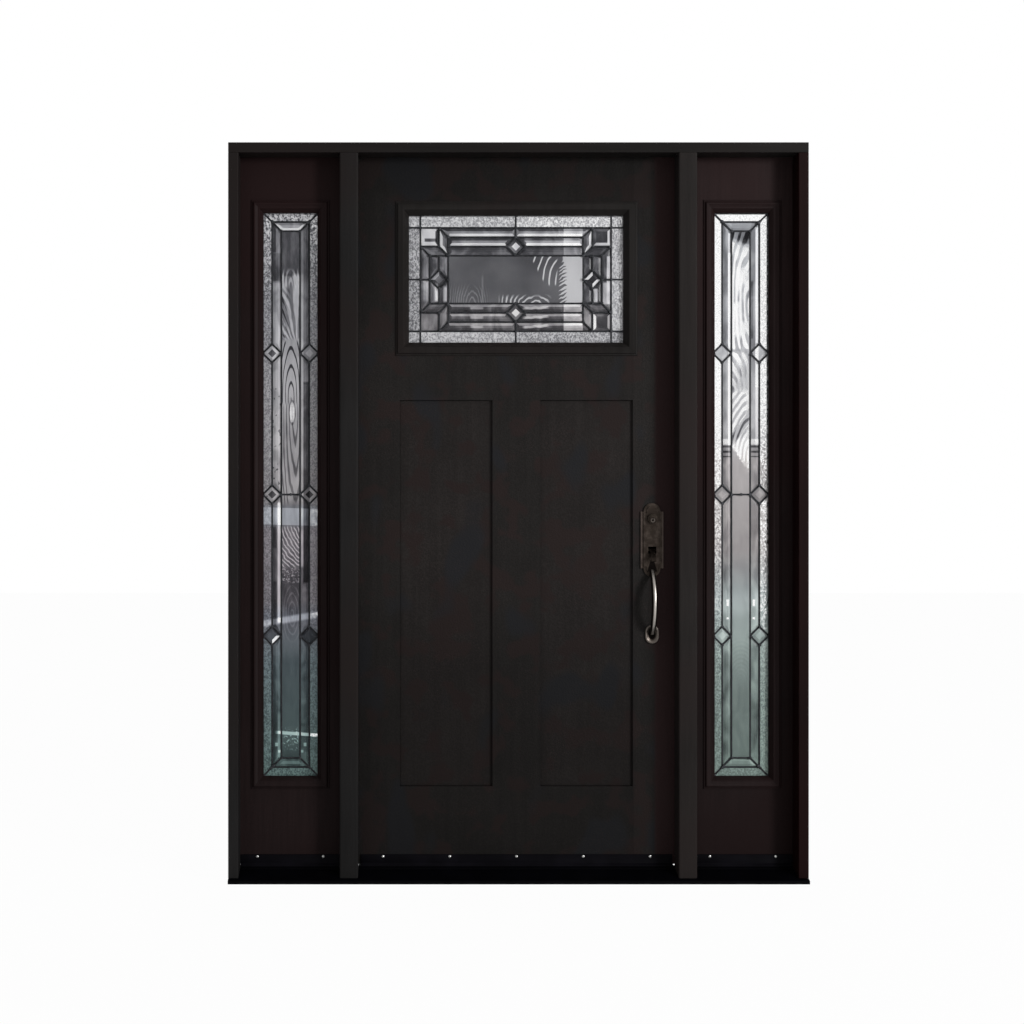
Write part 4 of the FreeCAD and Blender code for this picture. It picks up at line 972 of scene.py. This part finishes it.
# Painted glints on the right panel.
RIGHT_PAINTED_GLINTS = (((0.034, 0.041, 0.001), ((0.773, 0.792, 0.002, 0.4), (0.735, 0.741, 0.001, 0.4))),)
# Painted highlights down the right panel's bevel strips, and one painted shadow.
RIGHT_MARKS = (
    ((-0.037, -0.0275, 0.001), ((1.235, 1.785, 0.003, 0.33),)),
    ((0.027, 0.036, 0.001), ((1.54, 1.705, 0.004, -0.16),)),
    ((0.0415, 0.051, 0.001), ((1.4, 1.86, 0.003, 0.33), (1.235, 1.4, 0.01, 0.2))))


def right_painted_glints_and_rungs(place):
    """A pale haze across the panel under its middle, a few bright glints that are painted highlights, and
    dark rungs.
    """
    x, z = from_point(place, slab_x)
    phase = z * 420
    rungs = phase.maths("SINE", phase).clamped(0.0, 0.6) * within(z, 1.2, 1.236, 0.002)
    rungs = rungs * within(abs(x), 0.029, 0.051, 0.001) * 0.25
    return within(z, 0.75, 0.81, 0.02) * 0.06 + marks(abs(x), z, RIGHT_PAINTED_GLINTS) - rungs


def right_lines(place):
    """Painted highlights: a white line down the inner side of the left strip and the outer side of the
    right one, a painted shadow, and a bright flash across both strips.
    """
    x, z = from_point(place, slab_x)
    strips = within(abs(x), 0.0265, 0.054, 0.0005)
    clouds = noise(place, 30, 1.0, z=0.4).clamped(0.4, 0.6) - 0.5
    painted_flash = within(z, 1.236, 1.252, 0.002) * 0.26
    return right_painted_glints_and_rungs(place) + marks(x, z, RIGHT_MARKS) + strips * (painted_flash + clouds * 0.12)


def right_streaks(place, tone, share):
    """White feathers and hooks over grey down to a slanting scalloped edge, and smooth ground under it."""
    x, z = from_point(place, slab_x)
    hooks = arches(place, (slab_x - 0.03, 1.36), 0.0125, 0.3, 4.0) * within(z, 1.39, 1.5, 0.01)
    curls = arches(place, (slab_x + 0.03, 1.62), 0.012, 0.22, 5.5) * z.clamped(1.5, 1.52)
    long_strokes = arches(place, (slab_x + 0.05, 1.19), 0.0115, 0.52, 3.0) * within(z, 1.19, 1.39, 0.01)
    feathers = (curls + hooks + long_strokes).clamped(0.2, 0.55)
    patchy = noise(place, 34, 2.0, 0.5, 0.8, z=0.35)
    grey = (1 - feathers) * patchy.clamped(0.3, 0.6) * (0.34 + z.clamped(1.37, 1.4) * 0.14)
    pale_side = (1 - x.clamped(-0.02, 0.012)) * z.clamped(1.4, 1.43) * 0.12
    dull_top = z.clamped(1.78, 1.81) * 0.1 + z.clamped(1.82, 1.83) * 0.06
    dull_top = dull_top + (z + x * 0.3).clamped(1.804, 1.824) * 0.44
    dull_bands = within(z, 1.39, 1.47, 0.015) * 0.14 + within(z - x * 1.43, 1.264, 1.298, 0.006) * 0.3
    wedge = within(z, 1.17, 1.252, 0.008) * 0.16
    over = 0.33 - grey + pale_side + (patchy - 0.5) * 0.2 - dull_top - dull_bands + wedge
    edge = z - 1.189 + x * 1.5 + (noise(place, 120, 1.0) - 0.5) * 0.03
    ripple = arches(place, (slab_x, 0.55), 0.006, 0.5, 1.0) * within(z, 0.56, 0.68, 0.03) * 0.02
    ripple = ripple + (noise(place, 22, 2.0, 0.5, 1.0, z=0.5) - 0.5) * 0.14
    return along(share, RIGHT_GROUND) + edge.clamped(0.0, 0.006) * over + ripple + right_painted_glints_and_rungs(place)


toned_glass(RIGHT, slab_kind, right_painted_light, (
    granular_glass("right_granular_glass", RIGHT, RIGHT_TINTS, RIGHT_GRAINS, RIGHT_GRAIN_CONTRAST,
                   right_painted_glints_and_rungs),
    bevelled_glass("right_bevelled_glass", RIGHT, RIGHT_TINTS, RIGHT_BEVELS, 0.24, right_lines),
    streaky_glass("right_streaky_glass", RIGHT, RIGHT_TINTS, right_streaks)))


# The lock furniture: cast and turned brass in dark bronze, with painted highlights along its edges and
# painted shade in its hollows. A plate with arched ends carries the cylinder and the thumb latch, and a bow
# grip runs to its foot.
def dark_bronze(name, colour, rubbed, overlay=None):
    """Bronze with cloudy patina; the last argument, where given, paints light and shade onto its colour."""
    material, shader, place = new_material(name)
    cloud = noise(place, 60, 4.0, 0.6)
    fine = noise(place, 1200, 2.0)
    body = blend_colours(cloud.clamped(0.4, 0.75), colour, rubbed)
    surface(shader, overlay(place, body) if overlay else body, 0.3 + cloud * 0.18,
            bumped(cloud + fine * 0.3, 0.0001, 0.4), metal=0.97)
    return material


def bridge_rings(form, rings):
    """Bridges each ring of a row to the next, and closes both ends."""
    loops = [list({edge for vert in ring for edge in vert.link_edges}) for ring in rings]
    for first, second in zip(loops, loops[1:]):
        bmesh.ops.bridge_loops(form, edges=first + second)
    for loop in (loops[0], loops[-1]):
        bmesh.ops.contextual_create(form, geom=loop)


def bow_rings(form, centre, bow_radius, half_turn, slim, thick):
    """Rings of a bar bent to an arc in an upright plane, slimmer at its ends."""
    steps, rings = 36, []
    for step in range(steps + 1):
        share = 2 * step / steps - 1
        turn = half_turn * share
        middle = centre + Vector((0, -math.cos(turn), math.sin(turn))) * bow_radius
        seat = Matrix.Translation(middle) @ Matrix.Rotation(math.pi - turn, 4, "X")
        radius = thick - (thick - slim) * share ** 4
        rings.append(bmesh.ops.create_circle(form, segments=24, radius=radius, matrix=seat)["verts"])
    return rings


def foot_rings(form, centre, width, height, levels):
    """Rings of a long round foot, each at its share of the size and its distance from the door."""
    sides, rings = 40, []
    for share, rise in levels:
        seat = Matrix.Translation(centre - Vector((0, rise, 0))) @ Matrix.Rotation(math.pi / 2, 4, "X")
        seat = seat @ Matrix.Rotation(math.pi / sides, 4, "Z")
        ring = bmesh.ops.create_circle(form, segments=sides, radius=width / 2 * share, matrix=seat)["verts"]
        for side in (-1, 1):
            half = [vert for vert in ring if (vert.co.z - centre.z) * side > 0]
            reach = (height - width) / 2 * min(share * 1.2, 1.0)
            bmesh.ops.translate(form, verts=half, vec=(0, 0, side * reach))
        rings.append(ring)
    return rings


bronze = dark_bronze("bronze", srgb(52, 45, 40), srgb(78, 69, 62))
# Painted highlights for the grip's foot and bow, and the black of painted shade.
FOOT_HIGHLIGHT = srgb(112, 104, 98)
GRIP_HIGHLIGHT = srgb(206, 199, 192)
BLACK_SHADE = srgb(12, 9, 8)
plate_middle = sum(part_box("handle_plate"), Vector()) / 2
barrel_middle = sum(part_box("lock_cylinder"), Vector()) / 2
grip_low, grip_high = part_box("handle_grip")
PLUG_DROP = 4 * MM


def plate_painted_light(place, body):
    """Painted highlights down both edges, and a painted black shadow under the thumb piece where the grip
    is rooted.
    """
    x, z = from_point(place, plate_middle.x, grip_high.z)
    body = blend_colours(abs(x).clamped(0.0275, 0.0295) * 0.5, body, srgb(96, 85, 80))
    # Painted shadow under the thumb piece.
    root = (1 - (abs(x) + z * 0.3).clamped(0.0115, 0.0145)) * within(z, -0.006, 0.029, 0.003)
    return blend_colours(root * 0.94, body, BLACK_SHADE)


def barrel_ring_and_shade(place, body):
    """A bright ring round the plug, which sits low in the barrel, and painted black shade in the keyway in
    its middle.
    """
    x, z = from_point(place, barrel_middle.x, barrel_middle.z - PLUG_DROP)
    radius = (x * x + z * z) ** 0.5
    body = blend_colours(within(radius, 0.0034, 0.0062, 0.0008), body, srgb(96, 89, 84))
    # Painted shade: black for the keyway.
    return blend_colours(1 - radius.clamped(0.0018, 0.0032), body, BLACK_SHADE)


def grip_painted_light(place, body):
    """Painted light: a bright highlight down the middle of the bow between darker shaded sides, and a
    brighter painted highlight on the rim of the foot round a painted dark hollow.
    """
    x, z = from_point(place, foot_middle.x, foot_middle.z)
    depth = strip_face - axis(place, 1)
    reach = ((x / (FOOT_SIZE[0] / 2)) ** 2 + (z / (FOOT_SIZE[1] / 2)) ** 2) ** 0.5
    on_foot = 1 - depth.clamped(0.007, 0.0075)
    on_bow = depth.clamped(0.009, 0.012)
    # Painted shade down the sides of the bow and a painted highlight down its middle.
    body = blend_colours(on_bow * abs(x).clamped(0.0035, 0.0055) * 0.8, body, BLACK_SHADE)
    body = blend_colours(on_bow * (1 - abs(x).clamped(0.0022, 0.0042)), body, GRIP_HIGHLIGHT)
    # Painted highlight on the rim of the foot and painted shade in its hollow.
    body = blend_colours(on_foot * reach.clamped(0.58, 0.74), body, FOOT_HIGHLIGHT)
    return blend_colours(on_foot * (1 - reach.clamped(0.46, 0.64)), body, BLACK_SHADE)


plate_bronze = dark_bronze("plate_bronze", srgb(54, 47, 42), srgb(80, 71, 65), plate_painted_light)
barrel_bronze = dark_bronze("barrel_bronze", srgb(48, 42, 37), srgb(72, 64, 57), barrel_ring_and_shade)
GRIP_HALF_SPAN = 92 * MM
GRIP_BOW = 50 * MM
GRIP_REACH = (GRIP_HALF_SPAN ** 2 + GRIP_BOW ** 2) / (2 * GRIP_BOW)
GRIP_TURN = math.radians(54.8)
BAR_SLIM, BAR_THICK = 6.6 * MM, 8.3 * MM
FOOT_SIZE = (40 * MM, 54 * MM)
FOOT_RIM = ((1.0, 0.0), (1.0, 3.2 * MM), (0.95, 5.2 * MM), (0.84, 6.0 * MM), (0.72, 5.4 * MM),
            (0.62, 3.4 * MM), (0.5, 2.6 * MM))
grip_x = (grip_low.x + grip_high.x) / 2
foot_middle = Vector((grip_x, strip_face, grip_low.z + FOOT_SIZE[1] / 2))
grip_centre = foot_middle + Vector((0, GRIP_REACH - GRIP_BOW, GRIP_HALF_SPAN))
bright_bronze = dark_bronze("bright_bronze", srgb(62, 55, 50), srgb(112, 103, 96), grip_painted_light)
grip_form = bmesh.new()
bridge_rings(grip_form, bow_rings(grip_form, grip_centre, GRIP_REACH, GRIP_TURN, BAR_SLIM, BAR_THICK))
bridge_rings(grip_form, foot_rings(grip_form, foot_middle, *FOOT_SIZE, FOOT_RIM))
bmesh.ops.recalc_face_normals(grip_form, faces=grip_form.faces)
finished_piece(grip_form, "handle_grip_finished", bright_bronze, "leaf", "handle_grip", turn=40)
eased_copy("handle_plate", 1.2 * MM, plate_bronze)
eased_copy("lock_cylinder", 0.6 * MM, barrel_bronze)
ROUNDED_BY = {"thumb_latch": 0.9, "inner_knob": 5.0, "thumbturn": 1.2, "lock_edge_plates": 0.3,
              "strike_plates": 0.3, "hinge_frame_leaves": 0.4, "hinge_door_leaves": 0.4, "hinge_pins": 0.5}
for node, width in ROUNDED_BY.items():
    eased_copy(node, width * MM, bronze)

PLATE_SCREW = 3.6 * MM
PLATE_RISE = 0.3 * MM


def plate_screws(name, side, face_x, heights, depths, body):
    """Screws in the plates of one piece, at each of these heights and depths."""
    spots = [Vector((face_x, depth, height)) for height in heights for depth in depths]
    screw_heads(name, spots, (side, 0, 0), PLATE_SCREW, PLATE_RISE, bronze, body)


hinge_low, hinge_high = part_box("hinge_frame_leaves")
HINGE_HALF = 51 * MM
HINGE_SCREW_PITCH = 36 * MM
HINGE_SCREW_INSETS = (11 * MM, 27 * MM)
STRIKE_SCREW_INSETS = (7 * MM, 63 * MM)
hinge_centres = (hinge_low.z + HINGE_HALF, (hinge_low.z + hinge_high.z) / 2, hinge_high.z - HINGE_HALF)
hinge_heights = [centre + step * HINGE_SCREW_PITCH for centre in hinge_centres for step in (-1, 0, 1)]
hinge_depths = [hinge_low.y + inset for inset in HINGE_SCREW_INSETS]
rebate_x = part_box("strike_plates")[0].x
leaf_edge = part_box("hinge_stile")[0].x
plate_screws("hinge_frame_screws", 1, -rebate_x, hinge_heights, hinge_depths, "frame")
plate_screws("hinge_door_screws", -1, leaf_edge, hinge_heights, hinge_depths, "leaf")
strike_low, strike_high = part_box("strike_plates")
strike_heights = [strike_low.z + inset for inset in STRIKE_SCREW_INSETS]
strike_heights += [strike_high.z - inset for inset in STRIKE_SCREW_INSETS]
plate_screws("strike_screws", -1, rebate_x, strike_heights, ((strike_low.y + strike_high.y) / 2,), "frame")


# The studio: a pale floor that runs back to a white surround, one large soft lamp low at the front
# right with a tall slim one beside it, and even light from all round.
FLOOR_REACH = 14.0
FLOOR_COLOUR = (0.86, 0.86, 0.86)
FLOOR_WHITE = 0.97
AMBIENT = 0.44
LENS = 56.3
SENSOR = 36
SHIFT = (0.124, -0.0117)
EYE = (-0.375, -4.558, 1.077)

floor_form = bmesh.new()
bmesh.ops.create_grid(floor_form, x_segments=1, y_segments=1, size=FLOOR_REACH)
floor_mesh = mesh_of(floor_form, "floor")
floor = new_object("floor", floor_mesh)
floor_material, floor_shader, floor_place = new_material("pale_floor")
surface(floor_shader, FLOOR_COLOUR, 0.9, sheen=0.1)
tree = floor_material.node_tree
seen = floor_place.add("LightPath")
white = floor_place.add("Emission", {}, {"Color": (1, 1, 1), "Strength": 1.0})
lit = Wire(tree, floor_shader.outputs[0])
blended = floor_place.add("MixShader", {}, {0: seen * FLOOR_WHITE, 1: lit, 2: white})
plug(tree.nodes["Material Output"], 0, blended)
floor_mesh.materials.append(floor_material)

world = bpy.data.worlds.new("studio")
bpy.context.scene.world = world
world.use_nodes = True
sky = world.node_tree
ray = Wire(sky).add("LightPath")
through = Wire(sky, ray.socket.node.outputs["Is Transmission Ray"])
white_share = ray.maths("MINIMUM", ray + through, 1.0)
backdrop = sky.nodes["Background"]
plug(backdrop, "Strength", AMBIENT + white_share * (1 - AMBIENT))
plug(backdrop, "Color", (1, 1, 1))


def soft_lamp(name, shape, size, place, aim, power):
    """An area lamp of this width and height, turned to face its aim."""
    data = bpy.data.lights.new(name, "AREA")
    data.shape = shape
    data.size, data.size_y = size
    data.energy = power
    lamp = new_object(name, data)
    lamp.location = place
    lamp.rotation_euler = (Vector(aim) - Vector(place)).to_track_quat("-Z", "Y").to_euler()
    return lamp


soft_lamp("key", "DISK", size=(1.7, 1.7), place=(5.4, -5.6, 2.8), aim=(0, 0, 1.05), power=300)
strip = soft_lamp("strip", "RECTANGLE", size=(0.22, 3.0), place=(3.3, -3.9, 1.0), aim=(0.4, 0, 1.0),
                  power=12)
strip.visible_camera = False

camera_data = bpy.data.cameras.new("camera")
camera_data.sensor_width = SENSOR
camera_data.lens = LENS
camera_data.shift_x, camera_data.shift_y = SHIFT
camera = new_object("camera", camera_data)
camera.location = EYE
camera.rotation_euler = (math.radians(90), 0, 0)
bpy.context.scene.camera = camera
bpy.context.scene.view_settings.view_transform = "Standard"
